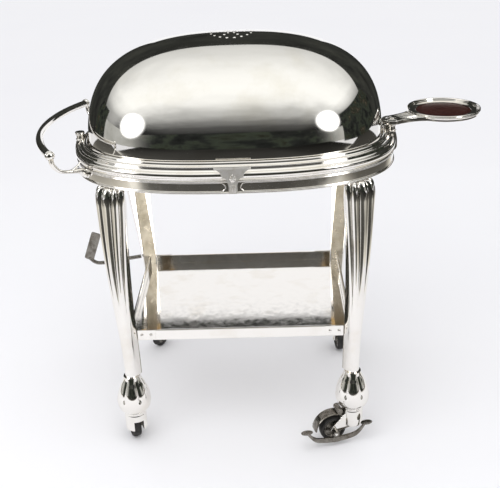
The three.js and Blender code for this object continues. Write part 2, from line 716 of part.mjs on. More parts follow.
/** A drooping arm from the outside of the rear left leg, with a leaning paddle at its end. */
function sideRest() {
  const z = SHELF_TOP_Z + SHELF_RAIL_HEIGHT;
  const section = legSection((z - ANKLE_Z) / (LEG_TOP_Z - ANKLE_Z));
  const root = section.back
    .clone()
    .addScaledVector(LEG_ACROSS, section.halfWidth)
    .addScaledVector(LEG_OUT, section.depth * 0.3);
  const at = (x, dz) => new THREE.Vector3(root.x + x, root.y, z + dz);
  const curve = new THREE.CatmullRomCurve3([
    at(-6, 0),
    at(REST_REACH * 0.4, -REST_DROP * 0.4),
    at(REST_REACH, -REST_DROP),
    at(REST_REACH + REST_PADDLE_WIDTH, 0),
  ]);
  const arm = cut(bar(curve, () => REST_ARM_RADIUS, 10, 8), legShell(1, 1, 2 * GAP));
  const [halfWidth, halfThickness] = [REST_PADDLE_WIDTH / 2, REST_PADDLE_THICKNESS / 2];
  const paddle = box(-halfWidth, halfWidth, -halfThickness, halfThickness, -6, REST_PADDLE_LENGTH)
    .rotateY(radians(-REST_TILT_DEG))
    .translate(root.x + REST_REACH + REST_PADDLE_WIDTH, root.y, z);
  return joined(arm, paddle).scale(-1, 1, 1);
}

// ---------------------------------------------------------------- table and burners

/** An oval slab or ring of rings from [share of half length, share of half width, height]. */
const ovalRings = (levels, steps = 32) =>
  levels.map(([halfLength, halfWidth, z]) =>
    outline(steps, halfLength, halfWidth).map(({ point }) => new THREE.Vector3(point.x, point.y, z)),
  );

/** A shallow oval pan, open at the top, with a lug at each end for the pivot pins. */
function waterPan() {
  const [a, b, wall] = [PAN_HALF_LENGTH, PAN_HALF_WIDTH, PAN_WALL];
  const bottom = PAN_TOP_Z - PAN_DEPTH;
  const draft = 26;
  const bowl = skinned(
    ovalRings([
      [a - draft, b - draft, bottom],
      [a - 6, b - 6, PAN_TOP_Z - 4 * wall],
      [a, b, PAN_TOP_Z - 4 * wall],
      [a, b, PAN_TOP_Z],
      [a - 10, b - 10, PAN_TOP_Z],
      [a - 10, b - 10, PAN_TOP_Z - 4 * wall],
      [a - draft - wall, b - draft - wall, bottom + wall],
    ]),
  );
  const lugHalf = PIN_RADIUS + 5.5;
  const lugs = [-1, 1].map((side) =>
    box(a - 4, PIN_INNER_X + 9, -lugHalf, lugHalf, PAN_TOP_Z - 3 * wall, PIVOT_Z + lugHalf).scale(side, 1, 1),
  );
  const reach = PIN_INNER_X + 20;
  const bores = alongX(bored(PIN_RADIUS), -reach, reach).translate(0, 0, PIVOT_Z);
  return cut(joined(bowl, ...lugs.map(welded)), bores);
}

/** The carving plate, with a gravy well let into each end. */
function carvingPlate() {
  const z = PAN_TOP_Z + GAP;
  const [a, b] = [PAN_HALF_LENGTH - 14, PAN_HALF_WIDTH - 6];
  const top = z + PLATE_THICKNESS;
  const plate = skinned(
    ovalRings([
      [a - 8, b - 8, z],
      [a, b, z + 1],
      [a, b, top + 3],
      [a - 8, b - 8, top + 3],
      [a - 16, b - 16, top],
    ]),
  );
  const wells = [-1, 1].map((side) => {
    const [foot, lip] = [z - WELL_DEPTH, top - 1];
    const cup = turned([[0, foot], [WELL_RADIUS, foot], [WELL_RADIUS + 4, lip], [0, lip]], 20);
    return cup.translate(side * WELL_X, 0, 0);
  });
  const hollows = [-1, 1].map((side) =>
    turned(
      [[0, z - WELL_DEPTH + 2], [WELL_RADIUS - 2, z - WELL_DEPTH + 2], [WELL_RADIUS, top + 5], [0, top + 5]],
      20,
    ).translate(side * WELL_X, 0, 0),
  );
  return cut(joined(plate, ...wells), ...hollows);
}

/** A domed lid with a knob, resting on the plate over a well. */
function wellLid() {
  const z = PAN_TOP_Z + GAP + PLATE_THICKNESS + GAP;
  const r = WELL_RADIUS + 6;
  return turned([
    [0, z + 2],
    [r - 8, z],
    [r, z],
    [0.85 * r, z + 0.55 * LID_HEIGHT],
    [0.45 * r, z + 0.92 * LID_HEIGHT],
    [4, z + LID_HEIGHT],
    [KNOB_RADIUS, z + LID_HEIGHT + 10],
    [KNOB_RADIUS * 0.7, z + LID_HEIGHT + 18],
    [0, z + LID_HEIGHT + 20],
  ]);
}

const CRADLE_Z = PAN_TOP_Z - PAN_DEPTH - CRADLE_DROP;

/** A tray under the pan, hung from it by four straps. */
function burnerCradle() {
  const [halfLength, halfWidth] = [CRADLE_LENGTH / 2, CRADLE_WIDTH / 2];
  const tray = box(-halfLength, halfLength, -halfWidth, halfWidth, CRADLE_Z - 3, CRADLE_Z);
  const panBottom = PAN_TOP_Z - PAN_DEPTH - GAP;
  const straps = [-1, 1].flatMap((sx) =>
    [-1, 1].map((sy) => {
      const x = sx * (halfLength - 1.5);
      const y = sy * (halfWidth - STRAP_WIDTH);
      return box(x - 1.5, x + 1.5, y - STRAP_WIDTH / 2, y + STRAP_WIDTH / 2, CRADLE_Z - 1, panBottom);
    }),
  );
  return joined(tray, ...straps);
}

/** A low spirit burner with a wick collar. */
function burner() {
  const z = CRADLE_Z + GAP;
  const r = BURNER_RADIUS;
  return turned([
    [0, z],
    [r - 4, z],
    [r, z + 4],
    [r, z + 0.6 * BURNER_HEIGHT],
    [r - 10, z + 0.8 * BURNER_HEIGHT],
    [0.4 * r, z + 0.86 * BURNER_HEIGHT],
    [0.4 * r, z + BURNER_HEIGHT + 10],
    [0, z + BURNER_HEIGHT + 10],
  ]);
}

// ---------------------------------------------------------------- push handle

/** The bowed grip, level, from its rear end to its front end. */
class GripCurve extends THREE.Curve {
  getPoint(t, target = new THREE.Vector3()) {
    const halfAngle = Math.asin(GRIP_END_Y / GRIP_BOW_RADIUS);
    const angle = halfAngle * (1 - 2 * t);
    const centreX = GRIP_BOW_RADIUS - GRIP_MIDDLE_X;
    return target.set(
      centreX - GRIP_BOW_RADIUS * Math.cos(angle),
      GRIP_BOW_RADIUS * Math.sin(angle),
      GRIP_Z,
    );
  }
}

const gripCurve = new GripCurve();

/** A collar past one end of the grip: end is 1 at the rear and -1 at the front. */
function gripFerrule(end) {
  const share = end > 0 ? 0 : 1;
  const out = gripCurve.getTangentAt(share).multiplyScalar(-end);
  const foot = gripCurve.getPointAt(share).addScaledVector(out, GAP);
  const r = FERRULE_RADIUS;
  const collar = turned([
    [0, 0],
    [r, 0],
    [r, 5],
    [0.86 * r, 6.5],
    [r, 8],
    [r, FERRULE_LENGTH - 2],
    [0.85 * r, FERRULE_LENGTH],
    [0, FERRULE_LENGTH],
  ]);
  const aim = new THREE.Quaternion().setFromUnitVectors(new THREE.Vector3(0, 0, 1), out);
  return { solid: collar.applyQuaternion(aim).translate(foot.x, foot.y, foot.z), foot, out };
}

/** Where the handle's brackets meet the rim: a point on the apron's face with its normal. */
function bracketRoot() {
  const stations = outline(720).filter(({ point }) => point.x < 0 && point.y < 0);
  const offsetY = ({ point, normal }) => Math.abs(point.y + normal.y * APRON_FACE + BRACKET_ROOT_Y);
  return stations.reduce((best, station) => (offsetY(station) < offsetY(best) ? station : best));
}

/** The scroll from a ferrule's underside down to the rim, flared where it meets the rim. */
function handleBracket(end) {
  const { foot, out } = gripFerrule(-1);
  const collar = foot.clone().addScaledVector(out, FERRULE_LENGTH * 0.62);
  const station = bracketRoot();
  const rootZ = APRON_BOTTOM_Z + APRON_HEIGHT * 0.62;
  const onRim = (offset, z) => rimPoint(station, APRON_FACE + offset, z);
  const start = new THREE.Vector3(collar.x, collar.y, GRIP_Z - FERRULE_RADIUS / 2);
  const between = (share, z) => {
    const root = onRim(0, rootZ);
    return new THREE.Vector3(start.x + (root.x - start.x) * share, start.y + (root.y - start.y) * share, z);
  };
  const curve = new THREE.CatmullRomCurve3([
    start,
    between(0.04, rootZ + 2.6 * BRACKET_RISE),
    between(0.22, rootZ + 1.5 * BRACKET_RISE),
    between(0.5, rootZ + BRACKET_RISE),
    between(0.76, rootZ + 0.7 * BRACKET_RISE),
    onRim(WIRE_RADIUS, rootZ),
  ]);
  const spur = new THREE.CatmullRomCurve3([
    between(0.55, rootZ + BRACKET_RISE),
    between(0.72, rootZ + 1.5 * BRACKET_RISE),
    between(0.84, rootZ + 2.1 * BRACKET_RISE),
  ]);
  const flare = BRACKET_FLARE_RADIUS - BRACKET_RADIUS;
  const radiusAt = (t) =>
    BRACKET_RADIUS + flare * eased((t - 0.72) / 0.28) - 2 * Math.sin(Math.PI * t) ** 4;
  const spurRadiusAt = (t) => BRACKET_RADIUS * (0.8 - 0.4 * t);
  const scroll = joined(bar(curve, radiusAt, 12, 10), bar(spur, spurRadiusAt, 4, 8));
  const saddle = upright(FERRULE_RADIUS + 2 * GAP, -FERRULE_LENGTH, 2 * FERRULE_LENGTH);
  const aim = new THREE.Quaternion().setFromUnitVectors(new THREE.Vector3(0, 0, 1), out);
  const room = saddle.applyQuaternion(aim).translate(foot.x, foot.y, foot.z);
  return cut(scroll, room, rimRoom()).scale(1, -end, 1);
}

// ---------------------------------------------------------------- plate stand

const STAND_Z = POST_TOP_Z + GAP;
const RING_Z = STAND_Z + STAND_PLATE_THICKNESS + GAP;

/** Turns and moves a piece drawn with the post at its origin and the ring along +X. */
const onStand = (geometry) => geometry.rotateZ(radians(STAND_REST_DEG)).translate(POST_X, 0, 0);

/** The arm: a thick eye and neck over the post, flaring into a thin disc under the ring. */
function standArm() {
  const disc = STAND_RING_RADIUS - STAND_RING_WALL / 2;
  const eye = STAND_EYE_RADIUS;
  const eyeAngle = radians(75);
  const discAngle = radians(146);
  const discPoint = (angle) => [STAND_REACH + disc * Math.cos(angle), disc * Math.sin(angle)];
  const shape = new THREE.Shape();
  shape.moveTo(eye * Math.cos(eyeAngle), eye * Math.sin(eyeAngle));
  shape.absarc(0, 0, eye, eyeAngle, 2 * Math.PI - eyeAngle, false);
  shape.quadraticCurveTo(STAND_REACH * 0.42, -eye * 0.9, ...discPoint(-discAngle));
  shape.absarc(STAND_REACH, 0, disc, -discAngle, discAngle, false);
  shape.quadraticCurveTo(STAND_REACH * 0.42, eye * 0.9, eye * Math.cos(eyeAngle), eye * Math.sin(eyeAngle));
  const arm = slab(shape, STAND_Z, STAND_Z + STAND_ARM_THICKNESS);
  const ringRoom = upright(STAND_RING_RADIUS + 2 * GAP, RING_Z - GAP, RING_Z + STAND_ARM_THICKNESS, 36);
  const bore = upright(bored(STAND_SCREW_RADIUS), STAND_Z - 1, STAND_Z + STAND_ARM_THICKNESS + 1);
  return onStand(cut(arm, ringRoom.translate(STAND_REACH, 0, 0), bore));
}

/** The ring's raised wall, with a bead along its top. */
function standRing() {
  const [outer, inner] = [STAND_RING_RADIUS, STAND_RING_RADIUS - STAND_RING_WALL];
  const top = RING_Z + STAND_RING_HEIGHT;
  const ring = turnedRing(
    [
      [inner, RING_Z],
      [outer - 4, RING_Z],
      [outer, RING_Z + 6],
      [outer, top - 2],
      [outer - 3, top],
      [outer - 8, top - 1],
      [inner, RING_Z + 4],
    ],
    36,
  );
  return onStand(ring.translate(STAND_REACH, 0, 0));
}

function standInlay() {
  const disc = upright(STAND_RING_RADIUS - STAND_RING_WALL - GAP, RING_Z, RING_Z + INLAY_THICKNESS, 36);
  return onStand(disc.translate(STAND_REACH, 0, 0));
}

/** The cap screw that holds the arm on the right post. */
function standScrew() {
  const shankFoot = POST_TOP_Z - 4;
  const seat = STAND_Z + STAND_ARM_THICKNESS + GAP;
  const [r, head] = [STAND_SCREW_RADIUS, 1.8 * STAND_SCREW_RADIUS];
  const shank = [[0, shankFoot], [r, shankFoot], [r, seat]];
  const dome = [[head, seat], [head, seat + 1.5], [r, seat + 3.5], [0, seat + 4]];
  return turned([...shank, ...dome], ROUND_SIDES).translate(POST_X, 0, 0);
}

// ---------------------------------------------------------------- castors

const FORK_TOP_Z = BULB_BOTTOM_Z - GAP;
const SLOT_HALF = WHEEL_WIDTH / 2 + 1.8;
const HUB_RADIUS = WHEEL_RADIUS - TYRE_THICKNESS;
const CHEEK_FACE = SLOT_HALF + FORK_CHEEK;
const BRAKE_FACE = FORK_CUP_RADIUS + 2 * GAP; // the bar passes outside the cup
const BRAKE_OUTER = BRAKE_FACE + BRAKE_BAR_THICKNESS;

/** The swivelling cup with two cheeks and the axle; it trails along +X. */
function fork(trail, axleReach) {
  const cup = upright(FORK_CUP_RADIUS, FORK_TOP_Z - FORK_CUP_HEIGHT, FORK_TOP_Z, 20);
  const boss = AXLE_RADIUS + 5;
  const cheeks = upended(
    [
      [-12, FORK_TOP_Z - 18],
      [-8, FORK_TOP_Z - FORK_CUP_HEIGHT],
      [trail - boss, WHEEL_RADIUS - boss * 0.6],
      [trail, WHEEL_RADIUS - boss],
      [trail + boss, WHEEL_RADIUS - boss * 0.4],
      [trail + boss, WHEEL_RADIUS + boss * 0.6],
      [FORK_CUP_RADIUS * 0.92, FORK_TOP_Z - 18],
    ],
    -CHEEK_FACE,
    CHEEK_FACE,
  );
  const reach = trail + boss + FORK_CUP_RADIUS; // past both ends of the cheeks and the cup
  const slot = box(-reach, reach, -SLOT_HALF, SLOT_HALF, -10, WHEEL_RADIUS * 2 + 2);
  const bore = upright(bored(STEM_RADIUS), FORK_TOP_Z - STEM_LENGTH - GAP, FORK_TOP_Z + 1);
  const axle = alongY(AXLE_RADIUS, -CHEEK_FACE - 2, axleReach).translate(trail, 0, WHEEL_RADIUS);
  return joined(cut(joined(cup, cheeks), slot, bore), axle);
}

function wheelCentre(trail) {
  const half = WHEEL_WIDTH / 2 - 1;
  const bore = bored(AXLE_RADIUS);
  const ring = turnedRing(
    [
      [bore, -half],
      [bore + 6, -half],
      [HUB_RADIUS - GAP, -half + 3],
      [HUB_RADIUS - GAP, half - 3],
      [bore + 6, half],
      [bore, half],
    ],
    ROUND_SIDES,
  );
  return ring.rotateX(Math.PI / 2).translate(trail, 0, WHEEL_RADIUS);
}

function tyre(trail) {
  const half = WHEEL_WIDTH / 2;
  const ring = turnedRing(
    [
      [HUB_RADIUS / Math.cos(Math.PI / 24), -half + 2],
      [WHEEL_RADIUS - 3, -half],
      [WHEEL_RADIUS, -half + 4],
      [WHEEL_RADIUS, half - 4],
      [WHEEL_RADIUS - 3, half],
      [HUB_RADIUS / Math.cos(Math.PI / 24), half - 2],
    ],
    24,
  );
  return ring.rotateX(Math.PI / 2).translate(trail, 0, WHEEL_RADIUS);
}

/** A curved guard over the wheel's outer side, from the cup down to the brake. */
function wheelHood(trail) {
  const steps = 12;
  const start = Math.acos((FORK_CUP_RADIUS + HOOD_THICKNESS + 2 * GAP - trail) / HOOD_RADIUS);
  const end = radians(4);
  const rings = Array.from({ length: steps + 1 }, (_, i) => {
    const angle = start + ((end - start) * i) / steps;
    const corner = (radius, y) =>
      new THREE.Vector3(trail + radius * Math.cos(angle), y, WHEEL_RADIUS + radius * Math.sin(angle));
    const half = HOOD_WIDTH / 2;
    return [
      corner(HOOD_RADIUS, -half),
      corner(HOOD_RADIUS + HOOD_THICKNESS, -half + 4),
      corner(HOOD_RADIUS + HOOD_THICKNESS, half - 4),
      corner(HOOD_RADIUS, half),
      corner(HOOD_RADIUS - HOOD_THICKNESS, half - 2),
      corner(HOOD_RADIUS - HOOD_THICKNESS, -half + 2),
    ];
  });
  const hood = skinned(rings);
  const stay = upended(
    [
      [trail + AXLE_RADIUS + 5 + GAP, WHEEL_RADIUS - 4],
      [trail + HOOD_RADIUS, WHEEL_RADIUS + 2],
      [trail + HOOD_RADIUS, WHEEL_RADIUS + 12],
      [trail + AXLE_RADIUS + 5 + GAP, WHEEL_RADIUS + 5],
    ],
    -CHEEK_FACE,
    3 - CHEEK_FACE,
  );
  const boltAngle = start - radians(12);
  const bolt = alongY(HOOD_BOLT_RADIUS, -HOOD_WIDTH / 2, HOOD_WIDTH / 2, 12).translate(
    trail + (HOOD_RADIUS + HOOD_BOLT_RADIUS) * Math.cos(boltAngle),
    0,
    WHEEL_RADIUS + (HOOD_RADIUS + HOOD_BOLT_RADIUS) * Math.sin(boltAngle),
  );
  return joined(hood, stay, bolt);
}

/** The rocker brake: a sagging bar outside the cup that turns on the axle, with a pedal at each end. */
function brakeRocker(trail) {
  const [reach, rise, sag] = [BRAKE_REACH, BRAKE_PEDAL_RISE, BRAKE_SAG];
  const boss = AXLE_RADIUS + 5;
  const right = [
    [boss, -sag * 0.35],
    [reach * 0.66, -2],
    [reach, rise],
    [reach, rise - 9],
    [reach * 0.68, -sag * 0.6],
    [boss, -sag],
  ];
  const left = [...right].reverse().map(([x, z]) => [-x, z]);
  const strap = upended([[0, -sag * 0.35], ...right, ...left], BRAKE_FACE, BRAKE_OUTER);
  const hub = alongY(boss, CHEEK_FACE + GAP, BRAKE_OUTER);
  const web = box(-boss * 0.8, boss * 0.8, BRAKE_FACE, BRAKE_OUTER, -sag * 0.6, 0);
  const pedals = [-1, 1].map((side) =>
    upright(BRAKE_PEDAL_RADIUS, 0, 4, 16)
      .scale(1, 0.62, 1)
      .translate(side * reach, BRAKE_FACE + BRAKE_PEDAL_OFFSET, rise - 4),
  );
  const bore = alongY(bored(AXLE_RADIUS), 0, BRAKE_OUTER + 1);
  return cut(joined(strap, hub, web, ...pedals), bore).translate(trail, 0, WHEEL_RADIUS);
}

// ---------------------------------------------------------------- assembly

const trolley = new THREE.Group();

function place(parent, name, geometry, material) {
  const mesh = new THREE.Mesh(welded(geometry), material);
  mesh.name = name;
  parent.add(mesh);
  return mesh;
}

place(trolley, 'rim_apron', rimApron(), SILVER);
place(trolley, 'rim_moulding', rimMoulding(), SILVER);
place(trolley, 'front_keystone', keystone(), SILVER);
place(trolley, 'rear_keystone', keystone().scale(1, -1, 1), SILVER);
const screwBore = upright(bored(STAND_SCREW_RADIUS), POST_TOP_Z - 5, POST_TOP_Z + 1).translate(POST_X, 0, 0);
for (const [side, name] of [[-1, 'left'], [1, 'right']]) {
  const post = name === 'right' ? cut(endPost(), screwBore) : endPost();
  place(trolley, `${name}_post`, post.scale(side, 1, 1), SILVER);
  place(trolley, `${name}_pivot_pin`, pivotPin().scale(side, 1, 1), STEEL);
  place(trolley, `${name}_cover_ear`, coverEar(side), SILVER);
}
place(trolley, 'roll_cover', rollCover(), SILVER);

for (const [sideY, depthName] of [[-1, 'front'], [1, 'rear']]) {
  for (const [sideX, widthName] of [[-1, 'left'], [1, 'right']]) {
    const corner = `${depthName}_${widthName}`;
    place(trolley, `${corner}_leg`, legShell(sideX, sideY), SILVER);
    place(trolley, `${corner}_leg_back`, legBack(sideX, sideY), WORN_SILVER);
    place(trolley, `${corner}_foot`, bulbFoot(), SILVER).position.set(sideX * LEG_X, sideY * LEG_Y, 0);
  }
  place(trolley, `shelf_${depthName}_rail`, longRail().scale(1, sideY, 1), SILVER);
}
place(trolley, 'shelf_plate', shelfPlate(), SILVER);
place(trolley, 'shelf_left_rail', sideRail().scale(-1, 1, 1), SILVER);
place(trolley, 'shelf_right_rail', sideRail(), SILVER);
place(trolley, 'side_rest', sideRest(), STEEL);

place(trolley, 'water_pan', waterPan(), SILVER);
place(trolley, 'carving_plate', carvingPlate(), SILVER);
place(trolley, 'burner_cradle', burnerCradle(), BRASS);
for (const [side, name] of [[-1, 'left'], [1, 'right']]) {
  place(trolley, `${name}_well_lid`, wellLid(), SILVER).position.x = side * WELL_X;
  place(trolley, `${name}_burner`, burner(), BRASS).position.x = side * BURNER_X;
}

place(trolley, 'handle_grip', bar(gripCurve, () => GRIP_RADIUS, 18, 10), SILVER);
for (const [end, name] of [[-1, 'front'], [1, 'rear']]) {
  place(trolley, `handle_${name}_ferrule`, gripFerrule(end).solid, SILVER);
  place(trolley, `handle_${name}_bracket`, handleBracket(end), SILVER);
}

place(trolley, 'stand_arm', standArm(), SILVER);
place(trolley, 'stand_ring', standRing(), SILVER);
place(trolley, 'stand_inlay', standInlay(), INLAY);
place(trolley, 'stand_screw', standScrew(), SILVER);

for (const { name, x, y, trail, headingDeg, braked } of CASTORS) {
  const castor = new THREE.Group();
  castor.position.set(x, y, 0);
  castor.rotation.z = radians(headingDeg);
  trolley.add(castor);
  place(castor, `${name}_castor_fork`, fork(trail, braked ? BRAKE_OUTER + 1 : CHEEK_FACE + 2), SILVER);
  place(castor, `${name}_wheel_centre`, wheelCentre(trail), STEEL);
  place(castor, `${name}_tyre`, tyre(trail), RUBBER);
  if (braked) {
    place(castor, `${name}_wheel_hood`, wheelHood(trail), STEEL);
    place(castor, `${name}_brake`, brakeRocker(trail), STEEL);
  }
}

export default trolley;
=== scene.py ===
import json
import logging
import math
from collections.abc import Iterator, Sequence
from contextlib import contextmanager
from dataclasses import dataclass
from enum import Enum
from functools import lru_cache

import bmesh
import bpy
from mathutils import Matrix, Vector


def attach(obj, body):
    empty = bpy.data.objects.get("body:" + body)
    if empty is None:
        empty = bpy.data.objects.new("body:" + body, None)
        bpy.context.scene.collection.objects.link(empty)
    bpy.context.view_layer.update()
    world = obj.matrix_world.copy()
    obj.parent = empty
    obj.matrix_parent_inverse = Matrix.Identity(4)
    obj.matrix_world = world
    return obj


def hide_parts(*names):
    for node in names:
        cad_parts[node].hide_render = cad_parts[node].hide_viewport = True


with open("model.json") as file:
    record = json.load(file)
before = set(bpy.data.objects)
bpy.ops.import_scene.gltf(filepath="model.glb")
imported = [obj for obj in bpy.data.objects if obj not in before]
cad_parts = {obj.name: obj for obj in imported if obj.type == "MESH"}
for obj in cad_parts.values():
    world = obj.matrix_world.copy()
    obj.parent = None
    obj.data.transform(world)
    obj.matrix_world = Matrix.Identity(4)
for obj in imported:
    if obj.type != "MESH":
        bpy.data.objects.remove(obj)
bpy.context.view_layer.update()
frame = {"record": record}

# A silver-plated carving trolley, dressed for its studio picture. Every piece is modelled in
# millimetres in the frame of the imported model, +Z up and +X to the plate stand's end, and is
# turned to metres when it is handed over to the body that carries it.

LOG = logging.getLogger("carving_trolley")
BODY_OF = {
    node: body
    for body, nodes in frame["record"]["behaviour"]["bodies"].items()
    for node in nodes
}
MM = 0.001  # metres in a millimetre
GAP = 0.3  # between pieces that touch
WELD = 0.002  # points nearer than this are one point
FLAT_WEIGHT = 80  # how far large faces lead the shading of an edge's round

Piece = bpy.types.Object
Tree = bpy.types.NodeTree
Socket = bpy.types.NodeSocket
Pair = tuple[float, float]
Point = tuple[float, float, float]


class Slot(Enum):
    """Material slots of the record."""

    SILVER = "silver_plate"
    LEG_BACK = "worn_brass"
    STEEL = "dull_steel"
    BRASS = "burner_brass"
    TYRE = "tyre"
    INLAY = "inlay"


class Axis(Enum):
    """Directions along which pieces are turned or given thickness."""

    X = (1.0, 0.0, 0.0)
    Y = (0.0, 1.0, 0.0)
    Z = (0.0, 0.0, 1.0)


# ------------------------------------------------------------------ selecting and editing


def clear_selection() -> None:
    """Leave edit mode and deselect every object."""
    if bpy.context.mode != "OBJECT":
        bpy.ops.object.mode_set(mode="OBJECT")
    bpy.ops.object.select_all(action="DESELECT")


def pick(*objects: Piece) -> None:
    """Select these objects only; the first becomes active.

    Args:
        objects: What to select.
    """
    clear_selection()
    for obj in objects:
        obj.select_set(True)
    bpy.context.view_layer.objects.active = objects[0]


@contextmanager
def editing(obj: Piece) -> Iterator[bmesh.types.BMesh]:
    """Hold an object in edit mode with everything selected.

    Args:
        obj: The mesh object to edit.

    Returns:
        The edit mesh, while the block runs.
    """
    pick(obj)
    bpy.ops.object.mode_set(mode="EDIT")
    bpy.ops.mesh.select_all(action="SELECT")
    yield bmesh.from_edit_mesh(obj.data)
    bpy.ops.object.mode_set(mode="OBJECT")


def modified(obj: Piece, kind: str, **settings: object) -> Piece:
    """Add a modifier, set it and apply it.

    Args:
        obj: The mesh object.
        kind: The modifier's type, such as BEVEL.
        settings: Values for the modifier's own properties.

    Returns:
        The same object.
    """
    pick(obj)
    modifier = obj.modifiers.new(kind, kind)
    for name, value in settings.items():
        setattr(modifier, name, value)
    bpy.ops.object.modifier_apply(modifier=modifier.name)
    return obj


def bevelled(obj: Piece, width: float, segments: int = 3) -> Piece:
    """Round the sharp edges of a piece.

    Args:
        obj: The mesh object.
        width: The bevel's width in millimetres.
        segments: How many faces round each edge.

    Returns:
        The same object.
    """
    return modified(obj, "BEVEL", width=width, segments=segments, limit_method="ANGLE",
                    angle_limit=math.radians(32), use_clamp_overlap=True)


def placed(obj: Piece, matrix: Matrix) -> Piece:
    """Move the mesh of a piece, and turn its faces out again if it was mirrored.

    Args:
        obj: The mesh object.
        matrix: Where its points go.

    Returns:
        The same object.
    """
    obj.data.transform(matrix)
    if matrix.determinant() < 0:
        obj.data.flip_normals()
    return obj


def shifted(obj: Piece, x: float = 0, y: float = 0, z: float = 0) -> Piece:
    """Move the mesh of a piece without turning it."""
    return placed(obj, Matrix.Translation((x, y, z)))


def copied(obj: Piece, matrix: Matrix) -> Piece:
    """Copy a piece with its own mesh and place the copy.

    Args:
        obj: The mesh object.
        matrix: Where the copy's points go.

    Returns:
        The copy.
    """
    pick(obj)
    bpy.ops.object.duplicate(linked=False)
    return placed(bpy.context.active_object, matrix)


def joined(*objects: Piece) -> Piece:
    """Join several meshes into the first.

    Args:
        objects: The mesh objects.

    Returns:
        The first object.
    """
    pick(*objects)
    if len(objects) > 1:
        bpy.ops.object.join()
    return objects[0]


def combined(obj: Piece, way: str, tools: Sequence[Piece]) -> Piece:
    """Combine a piece with tools one by one and delete them.

    Args:
        obj: The mesh object.
        way: UNION or DIFFERENCE.
        tools: The meshes to add or to cut out.

    Returns:
        The same object.
    """
    for tool in tools:
        modified(obj, "BOOLEAN", object=tool, operation=way, solver="EXACT")
        bpy.data.objects.remove(tool)
    return obj


def cut(obj: Piece, *tools: Piece) -> Piece:
    """Cut the tools out of a piece and delete them."""
    return combined(obj, "DIFFERENCE", tools)


def fused(obj: Piece, *tools: Piece) -> Piece:
    """Add the tools to a piece as one solid and delete them."""
    return combined(obj, "UNION", tools)


def mirrored(side_x: int = 1, side_y: int = 1) -> Matrix:
    """Mirror across the trolley's middle planes, where a side is -1."""
    return Matrix.Diagonal((side_x, side_y, 1, 1))


def turn_z(degrees: float) -> Matrix:
    """Turn about the upright axis."""
    return Matrix.Rotation(math.radians(degrees), 4, "Z")


def aimed(direction: Sequence[float]) -> Matrix:
    """Turn +Z to a direction."""
    return Vector((0, 0, 1)).rotation_difference(Vector(direction)).to_matrix().to_4x4()


# ------------------------------------------------------------------ outlines


def eased(share: float) -> float:
    """Go from 0 to 1 with a soft start and end."""
    u = min(1.0, max(0.0, share))
    return u * u * (3 - 2 * u)


def soft_corners(
    outline: Sequence[Pair], radius: float, steps: int = 3, closed: bool = False
) -> list[Pair]:
    """Round the corners of an outline.

    Args:
        outline: The corners in order.
        radius: How far from a corner its round begins, at most.
        steps: How many lines make up a round.
        closed: Whether the last corner meets the first.

    Returns:
        The outline with its rounds.
    """
    corners = [Vector(pair) for pair in outline]
    count = len(corners)
    result: list[Pair] = []
    for index, here in enumerate(corners):
        if not closed and index in (0, count - 1):
            result.append(tuple(here))
            continue
        back = corners[index - 1] - here
        onward = corners[(index + 1) % count] - here
        reach = min(radius, 0.48 * back.length, 0.48 * onward.length)
        start = here + back.normalized() * reach
        end = here + onward.normalized() * reach
        for step in range(steps + 1):
            t = step / steps
            result.append(tuple(start * (1 - t) ** 2 + here * 2 * t * (1 - t) + end * t * t))
    return result


def smooth_route(points: Sequence[Sequence[float]], per_span: int = 10) -> list[Vector]:
    """Run a smooth curve through points.

    Args:
        points: Points in two or three coordinates.
        per_span: How many steps lie between two points.

    Returns:
        The points of the curve, ends included.
    """
    nodes = [Vector(point) for point in points]
    route = []
    for index in range(len(nodes) - 1):
        before, start = nodes[max(0, index - 1)], nodes[index]
        end, after = nodes[index + 1], nodes[min(len(nodes) - 1, index + 2)]
        for step in range(per_span):
            t = step / per_span
            route.append(
                0.5 * (2 * start + (end - before) * t
                       + (2 * before - 5 * start + 4 * end - after) * t * t
                       + (3 * start - before - 3 * end + after) * t ** 3)
            )
    return [*route, nodes[-1]]


def arc(centre: Pair, radius: Pair, start: float, end: float, steps: int) -> list[Pair]:
    """Points of an elliptical arc.

    Args:
        centre: The arc's centre.
        radius: Its half width and half height.
        start: First angle in degrees.
        end: Last angle in degrees.
        steps: How many lines make up the arc.

    Returns:
        The arc's points, ends included.
    """
    angles = [math.radians(start + (end - start) * i / steps) for i in range(steps + 1)]
    return [(centre[0] + radius[0] * math.cos(a), centre[1] + radius[1] * math.sin(a))
            for a in angles]


def rod_profile(radius: float, low: float, high: float) -> list[Pair]:
    """The outline of a plain rod or bore, from the axis to the axis."""
    return [(0, low), (radius, low), (radius, high), (0, high)]


def head_profile(radius: float, edge: float, dome: float, steps: int) -> list[Pair]:
    """The outline of a bolt's head: a plain edge under a low dome."""
    return [(0, 0), (radius, 0), (radius, edge), *arc((0, edge), (radius, dome), 0, 90, steps)[1:]]


# ------------------------------------------------------------------ making meshes


def weld(capped: bool = False) -> None:
    """Weld the mesh in edit mode, fill its open ends if asked, and turn its faces out.

    Args:
        capped: Whether open ends are filled.
    """
    bpy.ops.mesh.select_all(action="SELECT")
    bpy.ops.mesh.remove_doubles(threshold=WELD)
    if capped:
        bpy.ops.mesh.fill_holes(sides=0)
    bpy.ops.mesh.normals_make_consistent(inside=False)


